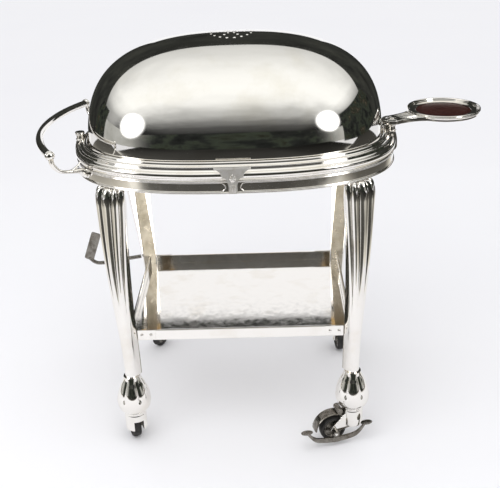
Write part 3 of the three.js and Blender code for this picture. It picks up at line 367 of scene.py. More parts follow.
def skinned(
    rows: Sequence[Sequence[Sequence[float]]],
    around: bool = True,
    along: bool = False,
    capped: bool = True,
) -> Piece:
    """Shape a grid over rows of points and weld it into one skin.

    Args:
        rows: Rows of equal length, each a list of points.
        around: Whether each row closes on itself.
        along: Whether the last row meets the first.
        capped: Whether open ends are filled.

    Returns:
        The new object.
    """
    laid = [[*row, row[0]] if around else list(row) for row in rows]
    if along:
        laid.append(laid[0])
    clear_selection()
    bpy.ops.mesh.primitive_grid_add(x_subdivisions=len(laid[0]) - 1, y_subdivisions=len(laid) - 1)
    obj = bpy.context.active_object
    obj.data.vertices.foreach_set("co", [value for row in laid for point in row for value in point])
    obj.data.update()
    with editing(obj):
        weld(capped)
    return obj


def turned(
    profile: Sequence[Pair],
    axis: Axis | Sequence[float] = Axis.Z,
    centre: Point = (0, 0, 0),
    segments: int = 64,
) -> Piece:
    """Spin an outline of radius and height pairs, as on a lathe.

    Args:
        profile: From the axis to the axis, or a loop away from it.
        axis: The lathe's axis.
        centre: Where the profile's zero height lies.
        segments: How many steps make up a turn.

    Returns:
        The new object.
    """
    clear_selection()
    bpy.ops.mesh.primitive_circle_add(vertices=len(profile), fill_type="NOTHING")
    obj = bpy.context.active_object
    for vertex, (radius, height) in zip(obj.data.vertices, profile):
        vertex.co = (radius, 0, height)
    ends_on_axis = profile[0][0] < WELD and profile[-1][0] < WELD
    with editing(obj) as mesh:
        if ends_on_axis:
            mesh.edges.ensure_lookup_table()
            ends = {0, len(profile) - 1}
            closing = [e for e in mesh.edges if {v.index for v in e.verts} == ends]
            bmesh.ops.delete(mesh, geom=closing, context="EDGES_FACES")
            bmesh.update_edit_mesh(obj.data)
        bpy.ops.mesh.select_all(action="SELECT")
        bpy.ops.mesh.spin(steps=segments, angle=2 * math.pi, center=(0, 0, 0), axis=(0, 0, 1))
        weld()
    direction = axis.value if isinstance(axis, Axis) else axis
    return placed(obj, Matrix.Translation(centre) @ aimed(direction))


def slab(
    outline: Sequence[Pair], low: float, high: float, upended: bool = False, bevel: float = 0.8
) -> Piece:
    """Give a flat outline thickness and soften its edges.

    Args:
        outline: Corners in X and Y, or in X and Z when upended.
        low: Where its thickness starts, along Z, or along Y when upended.
        high: Where it ends.
        upended: Whether the outline stands in X and Z.
        bevel: Width of the softened edges, 0 for none.

    Returns:
        The new object.
    """
    clear_selection()
    bpy.ops.mesh.primitive_circle_add(vertices=len(outline), fill_type="NGON")
    obj = bpy.context.active_object
    for vertex, (first, second) in zip(obj.data.vertices, outline):
        vertex.co = (first, low, second) if upended else (first, second, low)
    rise = (0, high - low, 0) if upended else (0, 0, high - low)
    with editing(obj):
        bpy.ops.mesh.extrude_region_move(TRANSFORM_OT_translate={"value": rise})
        weld()
    return bevelled(obj, bevel) if bevel else obj


def boxed(low: Point, high: Point, bevel: float = 1.0) -> Piece:
    """A block between two corners with softened edges."""
    outline = [(low[0], low[1]), (high[0], low[1]), (high[0], high[1]), (low[0], high[1])]
    return slab(outline, low[2], high[2], bevel=bevel)


def bar(
    route: Sequence[Sequence[float]], radii: Sequence[float] | float, cyclic: bool = False,
    resolution: int = 5,
) -> Piece:
    """A round bar along a route.

    Args:
        route: The points that it follows.
        radii: Its radius at each point, or one radius.
        cyclic: Whether its end meets its start.
        resolution: How finely it is rounded.

    Returns:
        The new mesh object.
    """
    sizes = [radii] * len(route) if isinstance(radii, (int, float)) else list(radii)
    clear_selection()
    bpy.ops.curve.primitive_nurbs_path_add()
    obj = bpy.context.active_object
    curve = obj.data
    curve.splines.clear()
    spline = curve.splines.new("POLY")
    spline.points.add(len(route) - 1)
    for knot, place, size in zip(spline.points, route, sizes):
        knot.co = (*place, 1)
        knot.radius = size
    spline.use_cyclic_u = cyclic
    curve.bevel_depth = 1
    curve.bevel_resolution = resolution
    curve.use_fill_caps = not cyclic
    pick(obj)
    bpy.ops.object.convert(target="MESH")
    obj = bpy.context.active_object
    with editing(obj):
        weld()
    return obj


# ------------------------------------------------------------------ finishes


# Tones of the room that polished metal mirrors: noise levels and their colours.
DIM_ROOM = (
    (0.30, "#161716"), (0.46, "#262826"), (0.55, "#3A4036"), (0.62, "#26261F"), (0.72, "#5E564A"),
)
DARK_WALL = ((0.30, "#232322"), (0.50, "#333431"), (0.70, "#40413C"))
PALE_ROOM = ((0.30, "#9A9A94"), (0.50, "#B4B4AF"), (0.70, "#C8C8C4"))


def srgb(code: str) -> tuple[float, float, float, float]:
    """Turn an sRGB hex colour to linear.

    Args:
        code: Six hex digits after a hash.

    Returns:
        Red, green, blue and alpha.
    """
    channels = [int(code[i:i + 2], 16) / 255 for i in (1, 3, 5)]
    linear = [c / 12.92 if c <= 0.04045 else ((c + 0.055) / 1.055) ** 2.4 for c in channels]
    return (*linear, 1.0)


def add_node(
    tree: Tree, kind: str, inputs: dict | None = None, **settings: object
) -> bpy.types.Node:
    """Add a node to a material.

    Args:
        tree: The node tree.
        kind: The node's type.
        inputs: For each input, a socket to link or a value to set.
        settings: Values for the node's own properties.

    Returns:
        The new node.
    """
    node = tree.nodes.new(kind)
    for name, value in settings.items():
        setattr(node, name, value)
    for name, value in (inputs or {}).items():
        if isinstance(value, Socket):
            tree.links.new(value, node.inputs[name])
        else:
            node.inputs[name].default_value = value
    return node


def place_of(tree: Tree) -> Socket:
    """Where a point lies on its own object."""
    return add_node(tree, "ShaderNodeTexCoord").outputs["Object"]


def clouds_of(tree: Tree, place: Socket, scale: float, detail: float, roughness: float = 0.5) -> Socket:
    """The level of a noise at a place."""
    return add_node(tree, "ShaderNodeTexNoise", {
        "Vector": place, "Scale": scale, "Detail": detail, "Roughness": roughness}).outputs["Fac"]


def ranged(
    tree: Tree, value: Socket, limits: Pair, result: Pair = (0.0, 1.0), kind: str = "LINEAR"
) -> Socket:
    """Stretch a value between two limits to two results.

    Args:
        tree: The node tree.
        value: What is stretched.
        limits: The values that give the two results.
        result: The two results.
        kind: LINEAR or SMOOTHSTEP.

    Returns:
        The result.
    """
    return add_node(tree, "ShaderNodeMapRange", {
        "Value": value, "From Min": limits[0], "From Max": limits[1],
        "To Min": result[0], "To Max": result[1]}, interpolation_type=kind).outputs["Result"]


def mixed(tree: Tree, share: Socket, first: Socket | tuple, second: Socket | tuple) -> Socket:
    """Mix two colours by a share of the second."""
    return add_node(tree, "ShaderNodeMix", {
        "Factor": share, "A": first, "B": second}, data_type="RGBA").outputs["Result"]


def blotches(
    tree: Tree, place: Socket, tones: Sequence[tuple[float, str]], scale: float
) -> Socket:
    """Colour a noise by tones.

    Args:
        tree: The node tree.
        place: Where the noise is read.
        tones: Noise levels and their hex colours.
        scale: The noise's scale.

    Returns:
        The colour.
    """
    steps = add_node(tree, "ShaderNodeValToRGB", {"Fac": clouds_of(tree, place, scale, 4.0, 0.6)})
    ramp = steps.color_ramp
    ramp.elements[0].position, ramp.elements[0].color = tones[0][0], srgb(tones[0][1])
    ramp.elements[1].position, ramp.elements[1].color = tones[-1][0], srgb(tones[-1][1])
    for position, code in tones[1:-1]:
        ramp.elements.new(position).color = srgb(code)
    return steps.outputs["Color"]


def per_metre(size_mm: float) -> float:
    """Pattern scale for a feature of this size, on coordinates in metres."""
    return 1 / (size_mm * MM)


@dataclass(frozen=True)
class Finish:
    """How a surface was made: a name in a maker's words and the slot of the record."""

    name: str
    slot: Slot | None

    def material(self) -> bpy.types.Material:
        """The material of this finish, made once.

        Returns:
            The material.
        """
        found = bpy.data.materials.get(self.name)
        if found:
            return found
        material = bpy.data.materials.new(self.name)
        material.use_nodes = True
        tree = material.node_tree
        tree.nodes.clear()
        output = add_node(tree, "ShaderNodeOutputMaterial")
        tree.links.new(self.shader(tree), output.inputs["Surface"])
        return material

    def shader(self, tree: Tree) -> Socket:
        """Build the surface; each kind of finish has its own."""
        raise NotImplementedError


@dataclass(frozen=True)
class Metal(Finish):
    """Bare or plated metal with a film of tarnish and the waves that hand work leaves."""

    bright: str
    film: str
    film_size: float  # mm across a cloud of film
    film_from: float  # noise level at which the film begins
    roughness: tuple[float, float]
    wave_size: float  # mm across a wave of the surface
    wave_depth: float  # mm
    film_spread: float = 0.3  # noise levels from bare metal to full film
    rubbing: float = 5.0  # how many rubbed spots lie across a cloud of film
    rubbed_levels: Pair = (0.3, 0.75)  # noise levels of the smoothest and the roughest spots

    def shader(self, tree: Tree) -> Socket:
        """Mix bright metal and film by soft clouds, and wave the surface a little.

        Args:
            tree: The node tree.

        Returns:
            The surface.
        """
        place = place_of(tree)
        film = clouds_of(tree, place, per_metre(self.film_size), 5.0, 0.6)
        share = ranged(tree, film, (self.film_from, self.film_from + self.film_spread))
        colour = mixed(tree, share, srgb(self.bright), srgb(self.film))
        rubbed = clouds_of(tree, place, per_metre(self.film_size / self.rubbing), 3.0)
        gloss = ranged(tree, rubbed, self.rubbed_levels, self.roughness)
        waves = clouds_of(tree, place, per_metre(self.wave_size), 1.5)
        bump = add_node(tree, "ShaderNodeBump", {
            "Height": waves, "Strength": 1.0, "Distance": self.wave_depth * MM})
        return add_node(tree, "ShaderNodeBsdfPrincipled", {
            "Base Color": colour, "Metallic": 1.0, "Roughness": gloss,
            "Normal": bump.outputs["Normal"]}).outputs["BSDF"]


@dataclass(frozen=True)
class Moulded(Finish):
    """Moulded rubber or laminate: a matt ground with a mottle of a second colour."""

    ground: str
    mottle: str
    grain: float  # mm across the mottle
    roughness: float
    relief: float  # mm
    mottle_levels: Pair = (0.4, 0.72)  # noise levels where the mottle begins and is full

    def shader(self, tree: Tree) -> Socket:
        """Mottle the colour and give the surface its grain.

        Args:
            tree: The node tree.

        Returns:
            The surface.
        """
        grain = clouds_of(tree, place_of(tree), per_metre(self.grain), 6.0, 0.65)
        share = ranged(tree, grain, self.mottle_levels)
        colour = mixed(tree, share, srgb(self.ground), srgb(self.mottle))
        bump = add_node(tree, "ShaderNodeBump", {
            "Height": grain, "Strength": 0.6, "Distance": self.relief * MM})
        return add_node(tree, "ShaderNodeBsdfPrincipled", {
            "Base Color": colour, "Roughness": self.roughness,
            "Normal": bump.outputs["Normal"]}).outputs["BSDF"]


@dataclass(frozen=True)
class Glow(Finish):
    """A lit card of the studio that only shows in reflections."""

    colour: str
    strength: float

    def shader(self, tree: Tree) -> Socket:
        """Shed light evenly."""
        return add_node(tree, "ShaderNodeEmission", {
            "Color": srgb(self.colour), "Strength": self.strength}).outputs["Emission"]


@dataclass(frozen=True)
class GradedGlow(Glow):
    """A ceiling or a floor whose light changes with the place on it, with a ragged front."""

    along: tuple[Pair, ...]  # distance towards the back in metres, share of the strength
    side: tuple[Pair, ...]  # distance to the right in metres, share of the strength

    @staticmethod
    def sum_of(tree: Tree, operation: str, first: Socket, second: Socket | float) -> Socket:
        """Join two values by the operation named."""
        inputs = {0: first, 1: second}
        return add_node(tree, "ShaderNodeMath", inputs, operation=operation).outputs["Value"]

    def falloff(self, tree: Tree, distance: Socket, knots: Sequence[Pair]) -> Socket:
        """Turn a distance into a share by straight lines between knots.

        Args:
            tree: The node tree.
            distance: The distance in metres.
            knots: Distances and their shares.

        Returns:
            The share.
        """
        first, last = knots[0][0], knots[-1][0]
        share = ranged(tree, distance, (first, last))
        ramp_node = add_node(tree, "ShaderNodeValToRGB", {"Fac": share})
        ramp = ramp_node.color_ramp
        for element, knot in zip((ramp.elements[0], ramp.elements[1]), (knots[0], knots[-1])):
            element.color = (knot[1], knot[1], knot[1], 1)
        for place, value in knots[1:-1]:
            ramp.elements.new((place - first) / (last - first)).color = (value, value, value, 1)
        return ramp_node.outputs["Color"]

    def shader(self, tree: Tree) -> Socket:
        """Shed light by the place on the card.

        Args:
            tree: The node tree.

        Returns:
            The light.
        """
        place = place_of(tree)
        axes = add_node(tree, "ShaderNodeSeparateXYZ", {"Vector": place})
        edge = self.sum_of(tree, "SUBTRACT", clouds_of(tree, place, 1.4, 3.0), 0.5)
        back = self.sum_of(tree, "ADD", axes.outputs["Y"], edge)
        shares = self.sum_of(
            tree, "MULTIPLY", self.falloff(tree, back, self.along),
            self.falloff(tree, axes.outputs["X"], self.side))
        power = self.sum_of(tree, "MULTIPLY", shares, self.strength)
        return add_node(tree, "ShaderNodeEmission", {
            "Color": srgb(self.colour), "Strength": power}).outputs["Emission"]


@dataclass(frozen=True)
class LampGlow(Glow):
    """A lamp's diffuser, bright in its middle and soft at its edge."""

    centre: Point
    radius: float
    core: float = 0.35  # share of the radius that is fully bright

    def shader(self, tree: Tree) -> Socket:
        """Shed light by the distance from the middle, and let the dark edge through.

        Args:
            tree: The node tree.

        Returns:
            The light.
        """
        away = add_node(
            tree, "ShaderNodeVectorMath", {0: place_of(tree), 1: self.centre}, operation="DISTANCE")
        limits = (self.radius, self.core * self.radius)
        share = ranged(tree, away.outputs["Value"], limits, kind="SMOOTHSTEP")
        clear = add_node(tree, "ShaderNodeBsdfTransparent")
        lit = add_node(tree, "ShaderNodeEmission", {
            "Color": srgb(self.colour), "Strength": self.strength})
        both = add_node(tree, "ShaderNodeMixShader", {"Fac": share})
        tree.links.new(clear.outputs["BSDF"], both.inputs[1])
        tree.links.new(lit.outputs["Emission"], both.inputs[2])
        return both.outputs["Shader"]


@dataclass(frozen=True)
class ClutterGlow(Finish):
    """The dim room beyond the paper, in blotches of its own colours."""

    tones: tuple[tuple[float, str], ...]
    blotch: float  # metres
    strength: float = 1.0

    def shader(self, tree: Tree) -> Socket:
        """Shed light in blotches.

        Args:
            tree: The node tree.

        Returns:
            The light.
        """
        return add_node(tree, "ShaderNodeEmission", {
            "Color": blotches(tree, place_of(tree), self.tones, 1 / self.blotch),
            "Strength": self.strength}).outputs["Emission"]


# Silver plate on brass, buffed by hand: a warm mirror with faint waves and a thin film.
SILVER = Metal(
    "buffed_silver_plate", Slot.SILVER, "#F3F0EB", "#E8E2D8", film_size=85, film_from=0.52,
    roughness=(0.04, 0.11), wave_size=55, wave_depth=0.10)
# The same plate on the big rolled cover, where the waves are longer.
COVER_SILVER = Metal(
    "rolled_silver_plate", Slot.SILVER, "#EFEDE9", "#E4E0D6", film_size=140, film_from=0.52,
    roughness=(0.03, 0.08), wave_size=120, wave_depth=0.16)
# The keystones' engraved silver: cut all over with fine lines, so half matt.
ENGRAVED = Metal(
    "engraved_silver_plate", Slot.SILVER, "#F3F0EB", "#DCD6CA", film_size=14, film_from=0.48,
    roughness=(0.36, 0.50), wave_size=6, wave_depth=0.14)
# Leg backs, where the plate has worn to the brass below: khaki, half matt.
WORN_BRASS = Metal(
    "worn_plated_brass", Slot.LEG_BACK, "#AEA799", "#8A8373", film_size=70, film_from=0.44,
    roughness=(0.26, 0.34), wave_size=90, wave_depth=0.05)
# Pins, wheels, hood and brake: dull cast and pressed steel with a brown bloom.
STEEL = Metal(
    "dull_pressed_steel", Slot.STEEL, "#8B8780", "#565047", film_size=22, film_from=0.42,
    roughness=(0.17, 0.34), wave_size=14, wave_depth=0.10)
# Spirit burners and their cradle: spun brass, lightly browned by heat.
BRASS = Metal(
    "spun_brass", Slot.BRASS, "#C6A15A", "#8A6432", film_size=30, film_from=0.50,
    roughness=(0.16, 0.34), wave_size=26, wave_depth=0.06)
# Solid tyres: black moulded rubber greyed by floor dust.
RUBBER = Moulded(
    "moulded_rubber", Slot.TYRE, "#1B1A19", "#3A3835", grain=9, roughness=0.72, relief=0.15)
# Inlay of the plate stand: red-brown laminate with a low polish.
LAMINATE = Moulded(
    "red_brown_laminate", Slot.INLAY, "#30100C", "#431C16", grain=26, roughness=0.22, relief=0.05)


def handed_over(
    obj: Piece, name: str, finish: Finish, *nodes: str, smooth: float = 34
) -> Piece:
    """Finish a piece: metres, smooth shading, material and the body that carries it.

    Args:
        obj: The mesh in millimetres.
        name: The piece's name.
        finish: Its surface.
        nodes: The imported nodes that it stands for; it rides with the first.
        smooth: Edges sharper than this many degrees stay sharp.

    Returns:
        The same object.
    """
    obj.name = obj.data.name = name
    obj.data.transform(Matrix.Scale(MM, 4))
    pick(obj)
    bpy.ops.object.shade_smooth_by_angle(angle=math.radians(smooth))
    modified(obj, "WEIGHTED_NORMAL", keep_sharp=True, weight=FLAT_WEIGHT)
    obj.data.materials.clear()
    obj.data.materials.append(finish.material())
    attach(obj, BODY_OF[nodes[0]])
    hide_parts(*nodes)
    LOG.info("%s: %d faces on %s", name, len(obj.data.polygons), BODY_OF[nodes[0]])
    return obj


# ------------------------------------------------------------------ the oval of cover and rim

COVER_HALF_LENGTH = 401.0
COVER_RADIUS = 272.9
COVER_SQUARENESS = 2.6  # exponent of its outline, 2 would be an ellipse
PIVOT_Z = 841.0  # height of the pins that the cover rolls on
PIN_RADIUS = 4.5
PIN_PLAY = 0.2  # round a pin or an axle in its bore
RIM_FACE = 33.0  # from the cover's outline out to the rim's face
POST_X = 433.0
LEG_X, LEG_Y = 309.0, 258.0
OVAL_SAMPLES = 5760  # places along the outline from which even steps are measured


@lru_cache(maxsize=None)
def oval_stations(
    count: int, half_length: float = COVER_HALF_LENGTH, half_width: float = COVER_RADIUS
) -> tuple[tuple[Vector, Vector], ...]:
    """Evenly spaced points on a squared oval.

    Args:
        count: How many points.
        half_length: Half its size along X.
        half_width: Half its size along Y.

    Returns:
        Points with their outward normals, from +X towards +Y.
    """
    power = 2 / COVER_SQUARENESS

    def grown(value: float, half: float) -> float:
        return half * math.copysign(abs(value) ** power, value)

    angles = [2 * math.pi * i / OVAL_SAMPLES for i in range(OVAL_SAMPLES + 1)]
    fine = [Vector((grown(math.cos(a), half_length), grown(math.sin(a), half_width)))
            for a in angles]
    lengths = [0.0]
    for before, here in zip(fine, fine[1:]):
        lengths.append(lengths[-1] + (here - before).length)
    stations = []
    index = 0
    for k in range(count):
        target = lengths[-1] * k / count
        while lengths[index + 1] < target:
            index += 1
        span = lengths[index + 1] - lengths[index]
        point = fine[index].lerp(fine[index + 1], (target - lengths[index]) / span)
        slope = [
            math.copysign(abs(value / half) ** (COVER_SQUARENESS - 1), value) / half
            for value, half in ((point.x, half_length), (point.y, half_width))
        ]
        stations.append((point, Vector(slope).normalized()))
    return tuple(stations)


def rim_point(station: tuple[Vector, Vector], offset: float, z: float) -> Point:
    """A point at an offset outside the cover's outline."""
    point, normal = station
    return (point.x + normal.x * offset, point.y + normal.y * offset, z)


def rim_band(profile: Sequence[Pair], count: int = 224) -> Piece:
    """A band round the cover from offset and height pairs."""
    rows = [[rim_point(station, *pair) for pair in profile] for station in oval_stations(count)]
    return skinned(rows, along=True, capped=False)


# ------------------------------------------------------------------ roll cover


@dataclass
class RollCover:
    """The half-round cover that rolls back on its two end pins."""

    wall: float = 2.5
    vent_radius: float = 2.4
    vent_rings: tuple[tuple[float, int], ...] = ((0, 1), (16, 6), (35, 6), (56, 18))
    vent_sink: float = 1.9  # how deep a vent's rim is dished
    ear_gap: float = 1.7  # between an ear and the wall
    ear_radius: float = 24.0
    ear_thickness: float = 5.0
    pin_hole_radius: float = 7.0
    pin_inner_x: float = 379.0
    pin_outer_x: float = 432.7

    def surface(self, point: Vector, angle: float) -> Point:
        """A point of the cover: one of its outline, rolled up by an angle."""
        return (point.x, -point.y * math.cos(angle), PIVOT_Z + point.y * math.sin(angle))

    def shell(self) -> Piece:
        """Shape the half body of revolution and give it its wall.

        Returns:
            The mesh in millimetres.
        """
        count, arcs = 320, 96
        half = [point for point, _ in oval_stations(count)[: count // 2 + 1]]
        rows = [[self.surface(point, math.pi * j / arcs) for j in range(arcs + 1)] for point in half]
        obj = skinned(rows, around=False, capped=False)
        crown = max(obj.data.polygons, key=lambda face: face.center.z)
        if crown.normal.z < 0:
            obj.data.flip_normals()
        return modified(obj, "SOLIDIFY", thickness=self.wall, offset=-1)

    def vents(self) -> Piece:
        """Punches for a rosette of vent holes round the crown.

        Returns:
            The punches as one mesh.
        """
        spots = []
        for radius, count in self.vent_rings:
            turns = [2 * math.pi * (i + 0.5) / count for i in range(count)]
            spots += [(radius * math.sin(turn), radius * math.cos(turn)) for turn in turns]
        crown = PIVOT_Z + COVER_RADIUS
        r, rim, sink, proud, deep = self.vent_radius, 2 * self.vent_radius, self.vent_sink, 12, 20
        punch = [(0, -deep), (r, -deep), (r, -sink), (rim, 0.4), (rim, proud), (0, proud)]
        tools = []
        for x, y in spots:
            drop = COVER_RADIUS - math.sqrt(COVER_RADIUS ** 2 - y * y)
            tilt = Matrix.Translation((x, y, crown - drop)) @ aimed((0, y, COVER_RADIUS - drop))
            tools.append(placed(turned(punch, segments=20), tilt))
        return joined(*tools)

    def build(self) -> None:
        """Make the cover, its ears and its pins."""
        reach = COVER_HALF_LENGTH + self.wall
        bore = turned(rod_profile(self.pin_hole_radius, -reach, reach), Axis.X, (0, 0, PIVOT_Z), 32)
        shell = cut(self.shell(), self.vents(), bore)
        handed_over(shell, "cover_shell", COVER_SILVER, "roll_cover", smooth=40)
        outer = COVER_HALF_LENGTH - self.wall - self.ear_gap
        eye, length = PIN_RADIUS + PIN_PLAY, self.pin_outer_x - self.pin_inner_x
        for side, name in ((-1, "left"), (1, "right")):
            ear = soft_corners([(eye, 0), (self.ear_radius, 0), (self.ear_radius, self.ear_thickness),
                                (eye, self.ear_thickness)], 1.4, closed=True)
            disc = turned(ear, (side, 0, 0), (side * (outer - self.ear_thickness), 0, PIVOT_Z))
            handed_over(disc, f"cover_ear_{name}", SILVER, f"{name}_cover_ear")
            pin = soft_corners(rod_profile(PIN_RADIUS, 0, length), 0.9)
            rod = turned(pin, (side, 0, 0), (side * self.pin_inner_x, 0, PIVOT_Z), 32)
            handed_over(rod, f"cover_pin_{name}", STEEL, f"{name}_pivot_pin")


# ------------------------------------------------------------------ rim


@dataclass
class Rim:
    """The oval band that carries everything: apron, stepped moulding and keystones."""

    clearance: float = 4.0  # from the cover out to the rim
    face: float = RIM_FACE
    apron_bottom: float = 770.0
    apron_top: float = 806.0
    wire: float = 2.8
    bulge: float = 4.5
    torus: float = 7.5
    moulding_foot: float = 806.3
    moulding_top: float = 846.3
    panel_inset: float = 6.6
    panel_corner: float = 9.5
    panel_wire: float = 1.2
    base: float = 7.25  # from the clearance out to the apron's turned-in foot
    sheet: float = 3.0
    keystone_depth: float = 6.0

    def apron(self) -> Piece:
        """The plain band with a wire along each edge and a foot turned in below.

        Returns:
            The mesh in millimetres.
        """
        low, high, wire = self.apron_bottom, self.apron_top, self.wire
        foot, inner = self.clearance + self.base, self.face - self.sheet
        profile = [
            (foot, low), *arc((self.face, low + wire), (wire, wire), -90, 90, 8),
            *arc((self.face, high - wire), (wire, wire), -90, 90, 8),
            (inner, high), (inner, low + self.sheet), (foot, low + self.sheet),
        ]
        return rim_band(profile)

    def panel_frames(self) -> Piece:
        """Thin wires with rounded corners that frame the apron's four panels.

        Returns:
            The mesh in millimetres.
        """
        low, high = self.apron_bottom + self.panel_inset, self.apron_top - self.panel_inset
        middle_gap, end_gap = 18, 30  # to the keystone's middle and to the post's middle
        quarter = [s for s in oval_stations(720) if s[0].x > middle_gap and s[0].y > 0
                   and s[0].y + s[1].y * self.face > end_gap]
        # how many stations before a panel's end, and what share of the corner's height
        rounding = ((4, 0.0), (2, 0.134), (1, 0.5), (0, 1.0))
        plain = range(5, len(quarter) - 5)

        def at(index: int, z: float) -> Point:
            return rim_point(quarter[index], self.face + 0.4, z)

        route = [at(i, high) for i in plain]
        for level, way, drops in ((high, -1, rounding), (low, 1, rounding[::-1])):
            route += [at(-1 - k, level + way * self.panel_corner * drop) for k, drop in drops]
        route += [at(i, low) for i in reversed(plain)]
        for level, way, drops in ((low, 1, rounding), (high, -1, rounding[::-1])):
            route += [at(k, level + way * self.panel_corner * drop) for k, drop in drops]
        frame_wire = bar(route, self.panel_wire, cyclic=True, resolution=2)
        copies = [copied(frame_wire, mirrored(sx, sy)) for sx, sy in ((-1, 1), (1, -1), (-1, -1))]
        return joined(frame_wire, *copies)

    def moulding(self) -> Piece:
        """The stepped collar: lip, hollow, wire, cove and torus, cut out at the posts and pins.

        Returns:
            The mesh in millimetres.
        """
        face, foot, top, lip = self.face, self.moulding_foot, self.moulding_top, self.clearance
        torus_z = foot + 1.6 * self.torus
        profile = [
            *soft_corners([(lip, top - 9), (lip, top), (lip + 7, top), (lip + 8.6, top - 4.6)], 2.6),
            *arc((lip + 13.4, top - 3.9), (4.4, 4.4), 188, 268, 6),
            *arc((lip + 17.0, top - 10.2), (2.3, 2.3), 80, -25, 6),
            *arc((lip + 27.6, top - 12.6), (7.6, 7.6), 192, 262, 6),
            *arc((face, torus_z), (self.bulge, self.torus), 84, -84, 14),
            (face, foot), (face - 5, foot), (face - 13, top - 19),
        ]
        post_x, post_y = 420.7, 12.3
        pin_y, pin_drop = 6.5, 5.1
        notches = []
        for side in (-1, 1):
            for low, high in (((post_x, -post_y, foot - 1), (505, post_y, top + 1)),
                              ((401, -pin_y, PIVOT_Z - pin_drop), (433, pin_y, top + 1))):
                notches.append(placed(boxed(low, high, bevel=0), mirrored(side)))
        return cut(rim_band(profile), *notches)

    def keystone(self) -> Piece:
        """A shield over the rim's middle: a sunk field, a leaf of five petals and a fluted block.

        Returns:
            The mesh in millimetres.
        """
        face = -(COVER_RADIUS + self.face + self.bulge + GAP)
        front = face - self.keystone_depth
        right = [(46, 842), (46, 838.4), *arc((46.5, 815), (19.5, 21.5), 118, 178, 10),
                 *arc((29, 803), (15.5, 13), 128, 178, 6), (11.5, 797), (10.5, 792), (10.5, 773)]
        outline = [*right, *[(-x, z) for x, z in reversed(right)]]
        plate = slab(outline, front + 1.4, face, upended=True, bevel=0)
        with editing(plate) as mesh:
            for item in mesh.faces:
                item.select = item.normal.y < -0.9
            mesh.select_flush_mode()
            bmesh.update_edit_mesh(plate.data)
            bpy.ops.mesh.inset(thickness=2.1, depth=0)
            bpy.ops.mesh.inset(thickness=0.5, depth=-0.9)
        plate = bevelled(plate, 0.5, 2)
        ledge = boxed((-46, front, 838.2), (46, face, 842), 1.1)
        block = boxed((-7.4, front, 776), (7.4, face, 795), 1.3)
        flutes = [bar([(x, front + 0.3, 779), (x, front + 0.1, 786), (x * 1.15, front + 0.3, 793)],
                      [1.0, 1.5, 0.8], resolution=3) for x in (-4.6, 0, 4.6)]
        petals = [self.petal(angle, length, front)
                  for angle, length in ((0, 15), (27, 13), (-27, 13), (52, 10), (-52, 10))]
        return joined(plate, ledge, block, *flutes, *petals)

    def petal(self, angle: float, length: float, front: float) -> Piece:
        """A rib of the keystone's leaf.

        Args:
            angle: How far it leans from upright, in degrees.
            length: Its length across; it is half as long again upwards.
            front: Where the keystone's front lies along Y.

        Returns:
            The new object.
        """
        lean, stem_z, stretch = math.radians(angle), 803, 1.5
        route = [(math.sin(lean) * length * t, front + 2.0 - 1.2 * math.sin(math.pi * t),
                  stem_z + math.cos(lean) * length * t * stretch) for t in (0, 0.2, 0.45, 0.7, 0.88, 1)]
        return bar(route, [1.0, 1.6, 2.2, 2.4, 1.6, 0.4], resolution=3)

    def build(self) -> None:
        """Make the rim's pieces."""
        apron = joined(self.apron(), self.panel_frames())
        handed_over(apron, "apron_band", SILVER, "rim_apron")
        handed_over(self.moulding(), "moulding_band", SILVER, "rim_moulding")
        front = self.keystone()
        rear = copied(front, mirrored(1, -1))
        handed_over(front, "keystone_front", ENGRAVED, "front_keystone")
        handed_over(rear, "keystone_rear", ENGRAVED, "rear_keystone")


# ------------------------------------------------------------------ end posts


@dataclass
class EndPosts:
    """A turned post at each end of the rim; the right one carries the plate stand."""

    radius: float = 11.5
    cap_radius: float = 13.3
    top: float = 852.0
    shoulder: float = 829.5
    half_width: float = 12.0

    def post(self) -> Piece:
        """The foot that laps the rim, with the turned top above it.

        Returns:
            The mesh in millimetres.
        """
        swell = [(443.1, 776), (447.2, 783), (448.1, 792), (447.4, 812), (443.1, self.shoulder)]
        outline = [(421, 806.3), (437.1, 806.3), (437.1, 776), *smooth_route(swell, 5),
                   (421, self.shoulder)]
        foot = slab([tuple(p) for p in outline], -self.half_width, self.half_width, True, bevel=1.6)
        r, c, z, top = self.radius, self.cap_radius, self.shoulder, self.top
        profile = [
            (0, z - 4), (r, z - 4), (r, z), *arc((r, z + 2), (1.5, 1.6), -80, 80, 5),
            (r - 1, z + 4.5), (r - 1, top - 9), *arc((r - 1, top - 6.6), (1.9, 1.6), -80, 80, 5),
            *soft_corners([(r, top - 5), (c, top - 4.4), (c, top), (0, top)], 1.2),
        ]
        return joined(foot, turned(profile, centre=(POST_X, 0, 0), segments=48))

    def build(self) -> None:
        """Make both posts."""
        bore = turned(rod_profile(PIN_RADIUS + PIN_PLAY, -24, 0), Axis.X, (POST_X, 0, PIVOT_Z), 32)
        right = cut(self.post(), bore)
        left = copied(right, mirrored(-1))
        handed_over(left, "post_left", SILVER, "left_post")
        handed_over(right, "post_right", SILVER, "right_post")


# ------------------------------------------------------------------ legs and feet


